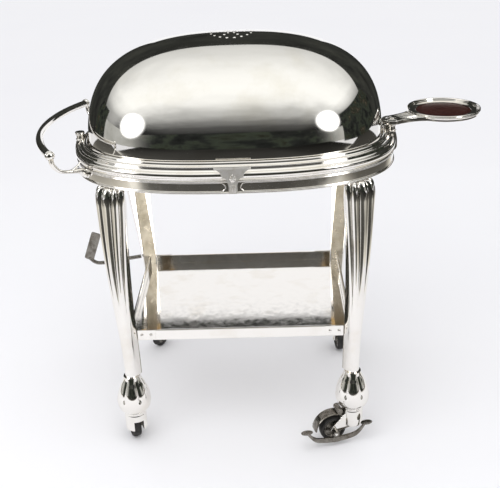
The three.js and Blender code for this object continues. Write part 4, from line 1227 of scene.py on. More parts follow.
@dataclass
class Legs:
    """Four reeded legs, each with a flat back, on lobed bulb feet."""

    x: float = LEG_X
    y: float = LEG_Y
    turn: float = 26.0  # degrees that a leg faces away from straight back or front
    lean_x: float = 16.0
    lean_y: float = 28.0
    knee: float = 49.5  # half the width near the top
    ankle: float = 20.0  # half the width at the foot
    depth: float = 45.0
    ankle_depth: float = 37.0
    reeds: int = 5
    reed_depth: float = 0.15  # share of the section
    finger_depth: float = 0.18  # what the same share gains at the very top
    shoulder_from: float = 0.91  # share of the height
    top_share: float = 0.74  # of the width that is left at the very top
    low: float = 219.3
    high: float = 769.7
    bulb_radius: float = 48.0
    bulb_low: float = 108.0
    bulb_height: float = 111.0
    lobes: int = 6
    lobe_depth: float = 6.5

    @property
    def out(self) -> Vector:
        """The way a leg faces."""
        return Vector((math.sin(math.radians(self.turn)), math.cos(math.radians(self.turn))))

    @property
    def across(self) -> Vector:
        """The way across a leg."""
        return Vector((self.out.y, -self.out.x))

    def shoulder(self, share: float) -> float:
        """How far a leg rounds in under the rim: 1 below its shoulder.

        Args:
            share: The share of the leg's height.

        Returns:
            The share of its width.
        """
        over = (share - self.shoulder_from) / (1 - self.shoulder_from)
        rest = math.sqrt(max(0, 1 - over ** 2)) if over > 0 else 1.0
        return self.top_share + (1 - self.top_share) * rest

    def share_at(self, z: float) -> float:
        """The share of a leg's height that lies below a height."""
        return (z - self.low) / (self.high - self.low)

    def section(self, share: float) -> tuple[float, float, float, Vector]:
        """Measure a leg at a share of its height.

        Args:
            share: 0 at its ankle, 1 at its top.

        Returns:
            Height, half width, depth and back point.
        """
        rounding = self.shoulder(share)
        taper = eased((share - 0.1) / 1.05) * 1.04 - 0.02 * share
        half_width = (self.ankle + (self.knee - self.ankle) * min(1, taper)) * rounding
        depth = (self.ankle_depth + (self.depth - self.ankle_depth) * eased(share / 0.6)) * rounding
        ankle_back = Vector((self.x, self.y)) - self.out * self.ankle_depth / 2
        back = Vector((
            ankle_back.x + self.lean_x * eased(share / 0.8) - (1 - rounding) * self.lean_x,
            ankle_back.y - self.lean_y * eased((share - 0.2) / 0.75),
        ))
        return self.low + share * (self.high - self.low), half_width, depth, back

    def shell(self) -> Piece:
        """The reeded front: five round reeds that end in fingers below the rim.

        Returns:
            The mesh in millimetres.
        """
        around, below, above = 120, 80, 20  # steps across, and along below and above the shoulder
        start = self.shoulder_from
        shares = [i / below * start for i in range(below)]
        shares += [start + (1 - start) * math.sin(math.pi / 2 * i / above) for i in range(above + 1)]
        rows = []
        for share in shares:
            z, half_width, depth, back = self.section(share)
            ending = (1 - self.shoulder(share)) / (1 - self.top_share)
            reeding = self.reed_depth * eased((share - 0.16) / 0.62) + self.finger_depth * ending
            row = []
            for i in range(around + 1):
                angle = math.pi * (i / around - 0.5)
                reed = 1 - reeding * (1 - abs(math.cos(self.reeds * angle)) ** 0.8)
                sine = math.sin(angle)
                across = half_width * math.copysign(abs(sine) ** 0.85, sine) * reed
                out = depth * abs(math.cos(angle)) ** 0.7 * reed
                p = back + self.across * across + self.out * out
                row.append((p.x, p.y, z))
            rows.append(row)
        return skinned(rows)

    def strip(self) -> Piece:
        """The flat strip that closes a leg's back.

        Returns:
            The mesh in millimetres.
        """
        steps, reach, thickness = 48, 0.96, 3.0
        rows = []
        for i in range(steps + 1):
            share = reach * i / steps
            z, _, _, back = self.section(share)
            half = (40 - 12 * eased((share - 0.3) / 0.6)) / 2
            near, far = GAP, GAP + thickness
            corners = [back + self.across * (side * half) - self.out * inwards
                       for side, inwards in ((-1, near), (1, near), (1, far), (-1, far))]
            rows.append([(p.x, p.y, z) for p in corners])
        return bevelled(skinned(rows), 0.7, 2)

    def lobe(self, turn: float, share: float) -> float:
        """How deep the bulb's surface lies between its round lobes at a place, in millimetres.

        Args:
            turn: The angle round the bulb.
            share: The share of its height.

        Returns:
            The depth.
        """
        across = (turn * self.lobes / (2 * math.pi)) % 1 * 2 - 1
        start = 0.16 + 0.16 * across ** 2
        roundness = 1 - math.sqrt(max(0.0, 1 - 0.96 * across ** 2))
        return self.lobe_depth * roundness * eased((share - start) / 0.16)

    def foot(self) -> Piece:
        """A pear-shaped bulb with round lobes that run down from the ankle, on its stem.

        Returns:
            The mesh in millimetres.
        """
        r, low, height, stem, steps = self.bulb_radius, self.bulb_low, self.bulb_height, 8, 160
        body = smooth_route([(0.62 * r, low), (0.83 * r, low + 6), (0.95 * r, low + 18), (r, low + 36),
                             (0.97 * r, low + 50), (0.88 * r, low + 66), (0.74 * r, low + 83),
                             (0.60 * r, low + 97), (0.485 * r, low + height)], 9)
        angles = [2 * math.pi * i / steps for i in range(steps)]
        rows = [[(stem * math.cos(a), stem * math.sin(a), z) for a in angles] for z in (low - 11, low)]
        for radius, z in body:
            share = (z - low) / height
            calm = eased((1.04 - share) / 0.16)
            sizes = [radius - self.lobe(a, share) * calm for a in angles]
            rows.append([(size * math.cos(a), size * math.sin(a), z) for size, a in zip(sizes, angles)])
        return skinned(rows)

    def build(self) -> None:
        """Make the four legs and feet."""
        leg, strip, foot = self.shell(), self.strip(), self.foot()
        for side_y, depth_name in ((-1, "front"), (1, "rear")):
            for side_x, width_name in ((-1, "left"), (1, "right")):
                corner = f"{depth_name}_{width_name}"
                mirror = mirrored(side_x, side_y)
                spot = Matrix.Translation((side_x * self.x, side_y * self.y, 0))
                for pattern, where, name, node, finish, smooth in (
                    (leg, mirror, "reeded_leg", "leg", SILVER, 50),
                    (strip, mirror, "leg_strip", "leg_back", WORN_BRASS, 34),
                    (foot, spot, "bulb_foot", "foot", SILVER, 50),
                ):
                    handed_over(copied(pattern, where), f"{corner}_{name}", finish,
                                f"{corner}_{node}", smooth=smooth)
        for pattern in (leg, strip, foot):
            bpy.data.objects.remove(pattern)


# ------------------------------------------------------------------ shelf


@dataclass
class Shelf:
    """The lower shelf: a plate between four rails, the long ones sleeved and bolted at the legs."""

    top: float = 327.0
    thickness: float = 3.0
    rail_height: float = 28.0
    rail_y: tuple[float, float] = (242.0, 250.0)
    rail_x: tuple[float, float] = (300.0, 308.0)
    rail_round: float = 1.8
    sleeve_length: float = 50.0
    sleeve_wall: float = 1.6
    strip_face: float = 3.6  # from a leg's back to what may stand before its strip
    strip_half: float = 20.0

    def __post_init__(self) -> None:
        """Find where a leg's back stands at the shelf's height."""
        legs = Legs()
        self.out, self.across = legs.out, legs.across
        self.back = legs.section(legs.share_at(self.top))[3]

    def strip_y(self, x: float) -> float:
        """How far back a piece reaches at a distance x before it meets a leg's strip."""
        return self.back.y - (self.strip_face + (x - self.back.x) * self.out.x) / self.out.y

    def plate(self) -> Piece:
        """The shelf's plate, its corners cut off at the legs.

        Returns:
            The mesh in millimetres.
        """
        x, y = self.rail_x[0] - GAP, self.rail_y[0] - GAP
        corner_x = self.back.x + ((self.back.y - y) * self.out.y - self.strip_face) / self.out.x
        quarter = [(x, self.strip_y(x)), (corner_x, y)]
        rear = [*quarter, *[(-px, py) for px, py in reversed(quarter)]]
        outline = [*rear, *[(-px, -py) for px, py in rear]]
        return slab(outline, self.top - self.thickness, self.top, bevel=0.6)

    def long_rail(self) -> Piece:
        """A long rail with a sleeve and two bolts at each end.

        Returns:
            The mesh in millimetres.
        """
        half = self.back.x - self.strip_half * self.across.x - self.strip_face * self.out.x - GAP
        low, high, wall = self.top - self.thickness, self.top + self.rail_height, self.sleeve_wall
        inner, outer = self.rail_y
        rail = boxed((-half, inner, low), (half, outer, high), self.rail_round)
        parts = []
        for side in (-1, 1):
            start, end = sorted((side * (half - self.sleeve_length), side * half))
            near, far = (start, inner + wall, self.top + GAP), (end, outer + wall, high + wall)
            parts.append(boxed(near, far, 1.2))
            for share in (0.25, 0.75):
                spot = (side * (half - self.sleeve_length * share), outer + wall, (self.top + high) / 2)
                parts.append(turned(head_profile(4.6, 0.9, 2.2, 6), Axis.Y, spot, 32))
        return joined(rail, *parts)

    def side_rail(self) -> Piece:
        """A plain short rail at one end.

        Returns:
            The mesh in millimetres.
        """
        half = self.strip_y(self.rail_x[1]) - GAP
        low, high = self.top - self.thickness, self.top + self.rail_height
        return boxed((self.rail_x[0], -half, low), (self.rail_x[1], half, high), self.rail_round)

    def side_rest(self) -> Piece:
        """A drooping arm with a leaning paddle, outside the rear left leg.

        Returns:
            The mesh in millimetres.
        """
        legs, z, reach, lean = Legs(), self.top + self.rail_height, 173, -20
        _, half_width, depth, back = legs.section(legs.share_at(z))
        root = back + self.across * half_width + self.out * depth * 0.3
        drop = [(4, 0), (56.8, -8), (142, -20), (reach, 0)]
        arm = bar(smooth_route([(root.x + x, root.y, z + dz) for x, dz in drop], 12), 6)
        corners = soft_corners([(-15.5, -6), (15.5, -6), (15.5, 92), (-15.5, 92)], 7, closed=True)
        paddle = slab(corners, -2, 2, upended=True, bevel=0.9)
        tilt = Matrix.Rotation(math.radians(lean), 4, "Y")
        paddle = placed(paddle, Matrix.Translation((root.x + reach, root.y, z)) @ tilt)
        return placed(joined(arm, paddle), mirrored(-1))

    def build(self) -> None:
        """Make the shelf and the side rest."""
        handed_over(self.plate(), "shelf_tray", SILVER, "shelf_plate")
        rear = self.long_rail()
        front = copied(rear, mirrored(1, -1))
        handed_over(rear, "rail_rear", SILVER, "shelf_rear_rail")
        handed_over(front, "rail_front", SILVER, "shelf_front_rail")
        right = self.side_rail()
        left = copied(right, mirrored(-1))
        handed_over(right, "rail_right", SILVER, "shelf_right_rail")
        handed_over(left, "rail_left", SILVER, "shelf_left_rail")
        handed_over(self.side_rest(), "rest_arm", STEEL, "side_rest")


# ------------------------------------------------------------------ table and burners


@dataclass
class Table:
    """What the cover hides: water pan, carving plate, lids, and the burners below the pan."""

    well_x: float = 262.0
    burner_x: float = 110.0
    tray_low: float = 703.0
    tray_top: float = 706.0

    def oval_rings(self, levels: Sequence[Point], count: int = 160) -> Piece:
        """A skin over ovals of half length, half width and height."""
        return skinned([[(point.x, point.y, z) for point, _ in oval_stations(count, a, b)]
                        for a, b, z in levels])

    def pan(self) -> Piece:
        """The water pan with a lug for each end pin.

        Returns:
            The mesh in millimetres.
        """
        bowl = self.oval_rings([
            (350, 228, 782), (353.5, 231.5, 782.6), (372, 250, 824), (373.5, 251.5, 826),
            (377.4, 255.4, 826), (378, 256, 826.6), (378, 256, 833.4), (377.4, 255.4, 834),
            (368.6, 246.6, 834), (368, 246, 833.4), (368, 246, 826), (352, 230, 787), (348, 226, 784)])
        hole = rod_profile(PIN_RADIUS + PIN_PLAY, -400, 400)
        lugs = [placed(boxed((374, -10, 828), (388, 10, 851), 1.5), mirrored(side)) for side in (-1, 1)]
        eyes = [cut(lug, turned(hole, Axis.X, (0, 0, PIVOT_Z), 32)) for lug in lugs]
        return joined(bowl, *eyes)

    def plate(self) -> Piece:
        """The carving plate with its raised edge, a gravy channel and a well at each end.

        Returns:
            The mesh in millimetres.
        """
        plate = self.oval_rings([
            (356, 242, 834.3), (363, 249, 835), (364, 250, 836.3), (364, 250, 841.2), (363, 249, 842.3),
            (357, 243, 842.3), (354, 240, 841.6), (349, 235, 839.6), (344, 230, 839.3), (332, 218, 839.3),
            (330, 216, 838.6), (327, 213, 837.9), (324, 210, 838.6), (322, 208, 839.3)])
        cup = soft_corners([(0, 800.3), (52, 800.3), (56, 838.3), (0, 838.3)], 3)
        hollow = soft_corners([(0, 802.3), (50, 802.3), (52, 844.3), (0, 844.3)], 3)
        cups, hollows = ([turned(profile, centre=(side * self.well_x, 0, 0)) for side in (-1, 1)]
                         for profile in (cup, hollow))
        return cut(fused(plate, *cups), *hollows)

    def lid(self) -> Piece:
        """A domed lid with a bead at its edge and a turned knob.

        Returns:
            The mesh in millimetres.
        """
        dome = smooth_route([(55.6, 843.6), (50.2, 852.8), (40, 859.6), (26.1, 863.6), (8, 865.4)], 6)
        profile = [
            (0, 841.6), (48, 839.6), *arc((56.2, 841.2), (1.8, 1.6), -90, 60, 6),
            *[tuple(p) for p in dome],
            *arc((6.5, 867.4), (1.6, 1.4), -60, 60, 4), (4, 869.4), (4.4, 871.4),
            *arc((0, 877.6), (9, 8), -48, 90, 14),
        ]
        return turned(profile)

    def burner(self) -> Piece:
        """A low spirit burner with a wick collar.

        Returns:
            The mesh in millimetres.
        """
        foot = self.tray_top + GAP
        return turned(soft_corners([
            (0, foot), (42, foot), (46, 710.3), (46, 729.1), (36, 736.7), (18.4, 739), (18.4, 745),
            (17, 746), (17, 751), (18.4, 752), (18.4, 754.3), (15.6, 754.3), (15.6, 748), (0, 748)], 1.6))

    def cradle(self) -> Piece:
        """The tray that holds the burners, hung from the pan by four straps.

        Returns:
            The mesh in millimetres.
        """
        tray = boxed((-210, -62, self.tray_low), (210, 62, self.tray_top), 1.0)
        straps = []
        for side_x in (-1, 1):
            for side_y in (-1, 1):
                x, y = side_x * 208.5, side_y * 46
                straps.append(boxed((x - 1.5, y - 8, self.tray_top - 1), (x + 1.5, y + 8, 781.7), 0.6))
        return joined(tray, *straps)

    def build(self) -> None:
        """Make the table's pieces."""
        handed_over(self.pan(), "pan_bowl", SILVER, "water_pan")
        handed_over(self.plate(), "carving_top", SILVER, "carving_plate")
        handed_over(self.cradle(), "cradle_tray", BRASS, "burner_cradle")
        for side, name in ((-1, "left"), (1, "right")):
            lid = shifted(self.lid(), side * self.well_x)
            handed_over(lid, f"well_lid_{name}", SILVER, f"{name}_well_lid")
            lamp = shifted(self.burner(), side * self.burner_x)
            handed_over(lamp, f"burner_pot_{name}", BRASS, f"{name}_burner")


# ------------------------------------------------------------------ push handle


@dataclass
class Handle:
    """The bowed push handle on its two scrolled brackets."""

    radius: float = 9.9
    z: float = 866.0
    middle_x: float = 531.0
    bow: float = 490.0
    end_y: float = 250.0
    ferrule_radius: float = 12.5
    collar_reach: float = 9.3  # from the grip's end out to the scroll's top
    root_z: float = 792.3
    root_y: float = 180.0
    face: float = RIM_FACE

    def grip_point(self, share: float) -> Vector:
        """Find a point on the grip's line.

        Args:
            share: 0 at its rear end, 1 at its front end.

        Returns:
            The point.
        """
        angle = math.asin(self.end_y / self.bow) * (1 - 2 * share)
        x = self.bow - self.middle_x - self.bow * math.cos(angle)
        return Vector((x, self.bow * math.sin(angle), self.z))

    def grip(self) -> Piece:
        """The plain bowed tube."""
        steps = 72
        return bar([self.grip_point(i / steps) for i in range(steps + 1)], self.radius, resolution=9)

    def front_end(self) -> tuple[Vector, Vector]:
        """The grip's front end and the way out of it.

        Returns:
            The end and the way.
        """
        end = self.grip_point(1)
        half_angle = math.asin(self.end_y / self.bow)
        out = Vector((math.sin(half_angle), -math.cos(half_angle), 0))
        return end + out * GAP, out

    def ferrule(self) -> Piece:
        """A ringed collar with a rounded end, at the grip's front end.

        Returns:
            The mesh in millimetres.
        """
        foot, out = self.front_end()
        r = self.ferrule_radius
        profile = [
            (0, 0), *arc((r - 1.6, 1.8), (1.6, 1.8), -90, 90, 6), (r - 1.9, 4.2),
            *arc((r - 1.3, 6.4), (1.3, 1.9), -80, 80, 5), (r - 2.2, 8.8),
            *arc((0, 8.8), (r - 2.2, 6.2), 0, 90, 10),
        ]
        return turned(profile, out, tuple(foot))

    def bracket(self) -> Piece:
        """The scroll from the front ferrule down to the rim, with its spur and its foot.

        Returns:
            The mesh in millimetres.
        """
        foot, out = self.front_end()
        collar = foot + out * self.collar_reach
        start = Vector((collar.x, collar.y, self.z - self.ferrule_radius / 2 - 3))
        stations = [s for s in oval_stations(1440) if s[0].x < 0 and s[0].y < 0]
        station = min(stations, key=lambda s: abs(rim_point(s, self.face, 0)[1] + self.root_y))
        root = Vector(rim_point(station, self.face, self.root_z))

        def between(share: float, rise: float) -> Vector:
            flat = start.lerp(root, share)
            return Vector((flat.x, flat.y, self.root_z + rise))

        end = Vector(rim_point(station, self.face + 3.3, self.root_z))
        route = smooth_route([start, between(0.04, 46.8), between(0.22, 27), between(0.5, 18),
                              between(0.76, 12.6), end], 14)
        shares = [i / (len(route) - 1) for i in range(len(route))]
        scroll = bar(route, [6.5 + 5.5 * eased((share - 0.72) / 0.28)
                             - 2 * math.sin(math.pi * share) ** 4 for share in shares], resolution=8)
        route = smooth_route([between(0.55, 18), between(0.72, 27), between(0.84, 37.8)], 12)
        shares = [i / (len(route) - 1) for i in range(len(route))]
        spur = bar(route, [5.2 - 4.2 * share ** 0.8 for share in shares])
        normal = Vector((station[1].x, station[1].y, 0))
        rosette = turned(soft_corners([(0, 0), (13.5, 0), (13.5, 1.8), (9, 3.6), (0, 4)], 1.2), normal,
                         rim_point(station, self.face + 0.5, self.root_z), 40)
        return joined(scroll, spur, rosette)

    def build(self) -> None:
        """Make the handle's pieces."""
        handed_over(self.grip(), "grip_tube", SILVER, "handle_grip", smooth=50)
        ferrule, bracket = self.ferrule(), self.bracket()
        for piece, name in ((ferrule, "ferrule"), (bracket, "bracket")):
            rear = copied(piece, mirrored(1, -1))
            handed_over(piece, f"{name}_front", SILVER, f"handle_front_{name}", smooth=45)
            handed_over(rear, f"{name}_rear", SILVER, f"handle_rear_{name}", smooth=45)


# ------------------------------------------------------------------ plate stand


@dataclass
class PlateStand:
    """The round plate stand that swings on the right post."""

    rest_turn: float = 27.0
    reach: float = 176.0
    arm_low: float = 852.3
    thickness: float = 12.0  # of the arm, and the height of the ring's wall
    ring_low: float = 858.6
    eye: float = 29.0
    eye_turn: float = 75.0  # where the arm's side leaves the eye, in degrees
    disc: float = 96.5
    disc_turn: float = 146.0  # where the arm's side meets the disc
    ring_radius: float = 102.8
    ring_width: float = 13.0
    inlay_lap: float = 13.0  # how far the ring's lip covers the inlay
    bore: float = 5.2

    def on_stand(self, obj: Piece) -> Piece:
        """Turn and move a piece drawn with the post at its origin and the ring along +X."""
        return placed(obj, Matrix.Translation((POST_X, 0, 0)) @ turn_z(self.rest_turn))

    def side(self, share: float) -> Pair:
        """Find a point of the arm's curved side.

        Args:
            share: 0 at the eye, 1 at the disc.

        Returns:
            The point in X and Y.
        """
        first, last = math.radians(self.eye_turn), math.radians(self.disc_turn)
        start = (self.eye * math.cos(first), self.eye * math.sin(first))
        bend = (self.reach * 0.42, self.eye * 0.9)
        end = (self.reach + self.disc * math.cos(last), self.disc * math.sin(last))
        weights = ((1 - share) ** 2, 2 * share * (1 - share), share * share)
        return tuple(sum(w * p[i] for w, p in zip(weights, (start, bend, end))) for i in (0, 1))

    def arm(self) -> Piece:
        """The arm: an eye, a neck with leaf ribs and a disc under the ring.

        Returns:
            The mesh in millimetres.
        """
        upper = [self.side(i / 14) for i in range(15)]
        low, top, turn = self.arm_low, self.arm_low + self.thickness, self.disc_turn
        outline = [*upper, *arc((self.reach, 0), (self.disc, self.disc), turn, -turn, 90)[1:-1],
                   *[(x, -y) for x, y in reversed(upper)],
                   *arc((0, 0), (self.eye, self.eye), -self.eye_turn, self.eye_turn - 360, 40)[1:-1]]
        room = turned(rod_profile(self.ring_radius + 2 * GAP, 0, 20),
                      centre=(self.reach, 0, self.ring_low - GAP), segments=128)
        bore = turned(rod_profile(self.bore, -1, self.thickness + 1), centre=(0, 0, low), segments=32)
        arm = cut(slab(outline, low, top, bevel=1.4), room, bore)
        ribs = [self.rib(share, top - 0.9) for share in (-0.82, -0.5, -0.2, 0.2, 0.5, 0.82)]
        collar = turned(soft_corners([(10, 0), (17.5, 0), (16, 1.2), (10, 1.4)], 0.5, closed=True),
                        centre=(0, 0, top - 0.4), segments=48)
        return self.on_stand(joined(arm, collar, *ribs))

    def rib(self, share: float, z: float) -> Piece:
        """A rib along the arm's neck that stops short of the ring.

        Args:
            share: Its place between the neck's middle, 0, and its sides, -1 and 1.
            z: The height of its middle.

        Returns:
            The new object.
        """
        steps, route = 12, []
        for i in range(steps + 1):
            t = 0.10 + 0.80 * i / steps
            x, y = self.side(t)
            ring_x = self.reach - math.sqrt((self.ring_radius + 3.5) ** 2 - (y * share) ** 2)
            route.append((min(x, ring_x), y * share * (0.75 + 0.25 * t), z))
        swell = [1.2 + 1.1 * math.sin(math.pi * i / steps) for i in range(steps + 1)]
        return bar(route, swell, resolution=3)

    def ring(self) -> Piece:
        """The ring's stepped wall with a bead along its top and a lip that laps the inlay.

        Returns:
            The mesh in millimetres.
        """
        low, top, r = self.ring_low, self.ring_low + self.thickness, self.ring_radius
        inner = r - self.ring_width
        lip = inner - self.inlay_lap
        profile = [
            (inner, low), (r - 4.5, low), *arc((r - 4.5, low + 4.5), (3.4, 4.5), -80, -10, 5),
            *arc((r - 1.4, low + 6.2), (1.4, 1.6), -80, 80, 5), (r - 1.3, low + 8),
            *arc((r - 2.6, top - 2.2), (2.6, 2.2), -20, 110, 8),
            (r - 5.2, top - 2.0), (r - 5.8, low + 6.4),
            *arc((r - 8.4, low + 6.2), (1.5, 1.4), 20, 190, 6), (r - 10.4, low + 4.6),
            (lip + 2, low + 4.2), *arc((lip + 1.6, low + 3.6), (1.6, 0.8), 90, 270, 6),
            (inner, low + 2.8),
        ]
        return self.on_stand(turned(profile, centre=(self.reach, 0, 0), segments=144))

    def build(self) -> None:
        """Make the stand's pieces."""
        handed_over(self.arm(), "stand_swing_arm", SILVER, "stand_arm")
        handed_over(self.ring(), "stand_plate_ring", SILVER, "stand_ring")
        inlay_radius = self.ring_radius - self.ring_width - GAP
        inlay = turned(soft_corners(rod_profile(inlay_radius, 0, 2.5), 0.6),
                       centre=(self.reach, 0, self.ring_low), segments=128)
        handed_over(self.on_stand(inlay), "stand_disc", LAMINATE, "stand_inlay")
        shank, head, seat, edge = 5, 9, 864.6, 866
        profile = [(0, 848), (shank, 848), (shank, seat), (head, seat),
                   *arc((0, edge), (head, 2.6), 0, 90, 8)]
        screw = turned(profile, centre=(POST_X, 0, 0), segments=40)
        slot = shifted(boxed((-10, -0.7, edge + 1.6), (10, 0.7, edge + 3), 0), POST_X)
        handed_over(cut(screw, slot), "stand_cap_screw", SILVER, "stand_screw")


# ------------------------------------------------------------------ castors


@dataclass
class Castor:
    """A swivelling castor: cup, cheeks and axle, wheel and tyre, and the brake where it has one."""

    corner: str
    x: float
    y: float
    trail: float  # from the swivel's axis to the axle
    heading: float  # the trail's way from above, in degrees
    braked: bool = False
    wheel: float = 38.0
    half_width: float = 12.0
    hub: float = 27.2
    cup: float = 31.0
    cup_low: float = 47.7
    cup_high: float = 107.7
    slot_half: float = 13.8
    cheek_half: float = 18.8
    axle: float = 4.0
    hood: float = 53.0
    reach: float = 88.0
    sag: float = 25.0
    rise: float = 27.0
    brake_face: float = 31.6

    def in_place(self, obj: Piece) -> Piece:
        """Move a piece drawn with its trail along +X to its corner."""
        return placed(obj, Matrix.Translation((self.x, self.y, 0)) @ turn_z(self.heading))

    def fork(self) -> Piece:
        """The cup with a rolled lip, its two cheeks and the axle between them.

        Returns:
            The mesh in millimetres.
        """
        r, low, high = self.cup, self.cup_low, self.cup_high
        cup = turned(soft_corners([
            (0, low), (r - 0.6, low), (r, low + 3), (r, high - 12), (r - 1.4, high - 9),
            (r - 1.4, high - 6), (r, high - 4), (r, high), (0, high)], 1.6))
        boss, trail, top = self.axle + 5, self.trail, self.cup_high - 18
        outline = soft_corners([(-12, top), (-8, low), (trail - boss, self.wheel - boss * 0.6),
                                (trail, self.wheel - boss), (trail + boss, self.wheel - boss * 0.4),
                                (trail + boss, self.wheel + boss * 0.6), (r * 0.92, top)], 5, closed=True)
        cheeks = slab(outline, -self.cheek_half, self.cheek_half, upended=True, bevel=1.2)
        slot = boxed((-100, -self.slot_half, -10), (120, self.slot_half, 2 * self.wheel + 2), 0)
        bore = turned(rod_profile(8.2, high - 11.3, high + 1), segments=32)
        body = cut(fused(cup, cheeks), slot, bore)
        far = self.brake_face + 7 if self.braked else self.cheek_half + 2
        near, length = -self.cheek_half - 2, far + self.cheek_half + 2
        rod = soft_corners(rod_profile(self.axle, 0, length), 1)
        parts = [turned(rod, Axis.Y, (trail, near, self.wheel), 24)]
        for way in (-1,) if self.braked else (1, -1):
            spot = (trail, way * self.cheek_half, self.wheel)
            parts.append(turned(head_profile(7, 1.2, 1.5, 5), (0, way, 0), spot, 6))
        return self.in_place(joined(body, *parts))

    def centre(self) -> Piece:
        """The dished wheel centre with its hub ring.

        Returns:
            The mesh in millimetres.
        """
        half, r, bore = self.half_width - 1, self.hub, self.axle + PIN_PLAY
        side = [(bore, half), (bore + 5, half), (bore + 6.4, half - 1), (bore + 7, half - 4),
                (r - 5, half - 5.5), (r - 3, half - 3.2), (r, half - 3)]
        profile = [*[(x, -z) for x, z in side], *reversed(side)]
        ring = turned(soft_corners(profile, 0.9, 2, closed=True), Axis.Y, (self.trail, 0, self.wheel), 56)
        return self.in_place(ring)

    def tyre(self) -> Piece:
        """The solid tyre with a rounded tread.

        Returns:
            The mesh in millimetres.
        """
        half, r, low = self.half_width, self.wheel, self.hub + 0.3
        profile = soft_corners([
            (low, -half + 2), (r - 3.4, -half), (r - 0.4, -half + 3.6), (r, 0),
            (r - 0.4, half - 3.6), (r - 3.4, half), (low, half - 2)], 2.6, closed=True)
        return self.in_place(turned(profile, Axis.Y, (self.trail, 0, self.wheel), 72))

    def wheel_hood(self) -> Piece:
        """The curved guard outside the wheel, with its bolt and its stay.

        Returns:
            The mesh in millimetres.
        """
        start = math.acos((self.cup + 3.1 - self.trail) / self.hood)
        end = math.radians(4)
        rows = []
        section = soft_corners([(-18, 0), (-14, 2.5), (14, 2.5), (18, 0), (16, -2.5), (-16, -2.5)],
                               1.4, 2, closed=True)
        steps = 40
        for i in range(steps + 1):
            angle = start + (end - start) * i / steps
            rows.append([(self.trail + (self.hood + h) * math.cos(angle), y,
                          self.wheel + (self.hood + h) * math.sin(angle)) for y, h in section])
        guard = skinned(rows)
        boss = self.axle + 5.3
        stay = slab([(self.trail + boss, self.wheel - 4), (self.trail + self.hood, self.wheel + 2),
                     (self.trail + self.hood, self.wheel + 12), (self.trail + boss, self.wheel + 5)],
                    -self.cheek_half, 3 - self.cheek_half, upended=True, bevel=0.6)
        turn, away, half = start - math.radians(12), self.hood + 9, 18
        spot = (self.trail + away * math.cos(turn), -half, self.wheel + away * math.sin(turn))
        bolt = turned(soft_corners(rod_profile(9, 0, 2 * half), 1.6), Axis.Y, spot, 32)
        return self.in_place(joined(guard, stay, bolt))

    def brake(self) -> Piece:
        """The sagging rocker bar outside the cup, with a dished pedal at each end.

        Returns:
            The mesh in millimetres.
        """
        boss, reach, sag, rise = self.axle + 5, self.reach, self.sag, self.rise
        saddle = -sag * 0.35
        upper = smooth_route([(0, saddle), (boss, saddle), (reach * 0.66, -2), (reach, rise)], 8)
        lower = smooth_route([(reach, rise - 9), (reach * 0.68, -sag * 0.6), (boss, -sag), (0, -sag)], 8)
        right = [tuple(p) for p in [*upper, *lower]]
        outline = [*right, *[(-x, z) for x, z in reversed(right[1:-1])]]
        face, outer, inner = self.brake_face, self.brake_face + 6, self.cheek_half + GAP
        strap = slab(outline, face, outer, upended=True, bevel=1.0)
        bore_radius, length = self.axle + PIN_PLAY, outer - inner
        sleeve = [(bore_radius, 0), (boss, 0), (boss, length), (bore_radius, length)]
        hub = turned(soft_corners(sleeve, 0.8, closed=True), Axis.Y, (0, inner, 0), 40)
        dish = soft_corners([(0, 0), (13, 0), (17, 1.6), (17, 4), (14, 3.2), (0, 2.4)], 1)
        pedals = []
        for side in (-1, 1):
            pedal = placed(turned(dish, segments=48), Matrix.Diagonal((1, 0.62, 1, 1)))
            pedals.append(shifted(pedal, side * reach, face + 8, rise - 4))
        bore = turned(rod_profile(bore_radius, 0, outer + 1), Axis.Y, (0, 0, 0), 32)
        rocker = joined(cut(strap, bore), hub, *pedals)
        return self.in_place(shifted(rocker, self.trail, 0, self.wheel))

    def build(self) -> None:
        """Make the castor's pieces."""
        handed_over(self.fork(), f"{self.corner}_cup", SILVER, f"{self.corner}_castor_fork")
        handed_over(self.centre(), f"{self.corner}_hub", STEEL, f"{self.corner}_wheel_centre")
        handed_over(self.tyre(), f"{self.corner}_tread", RUBBER, f"{self.corner}_tyre")
        if self.braked:
            handed_over(self.wheel_hood(), f"{self.corner}_guard", STEEL, f"{self.corner}_wheel_hood")
            handed_over(self.brake(), f"{self.corner}_rocker", STEEL, f"{self.corner}_brake")


# ------------------------------------------------------------------ studio


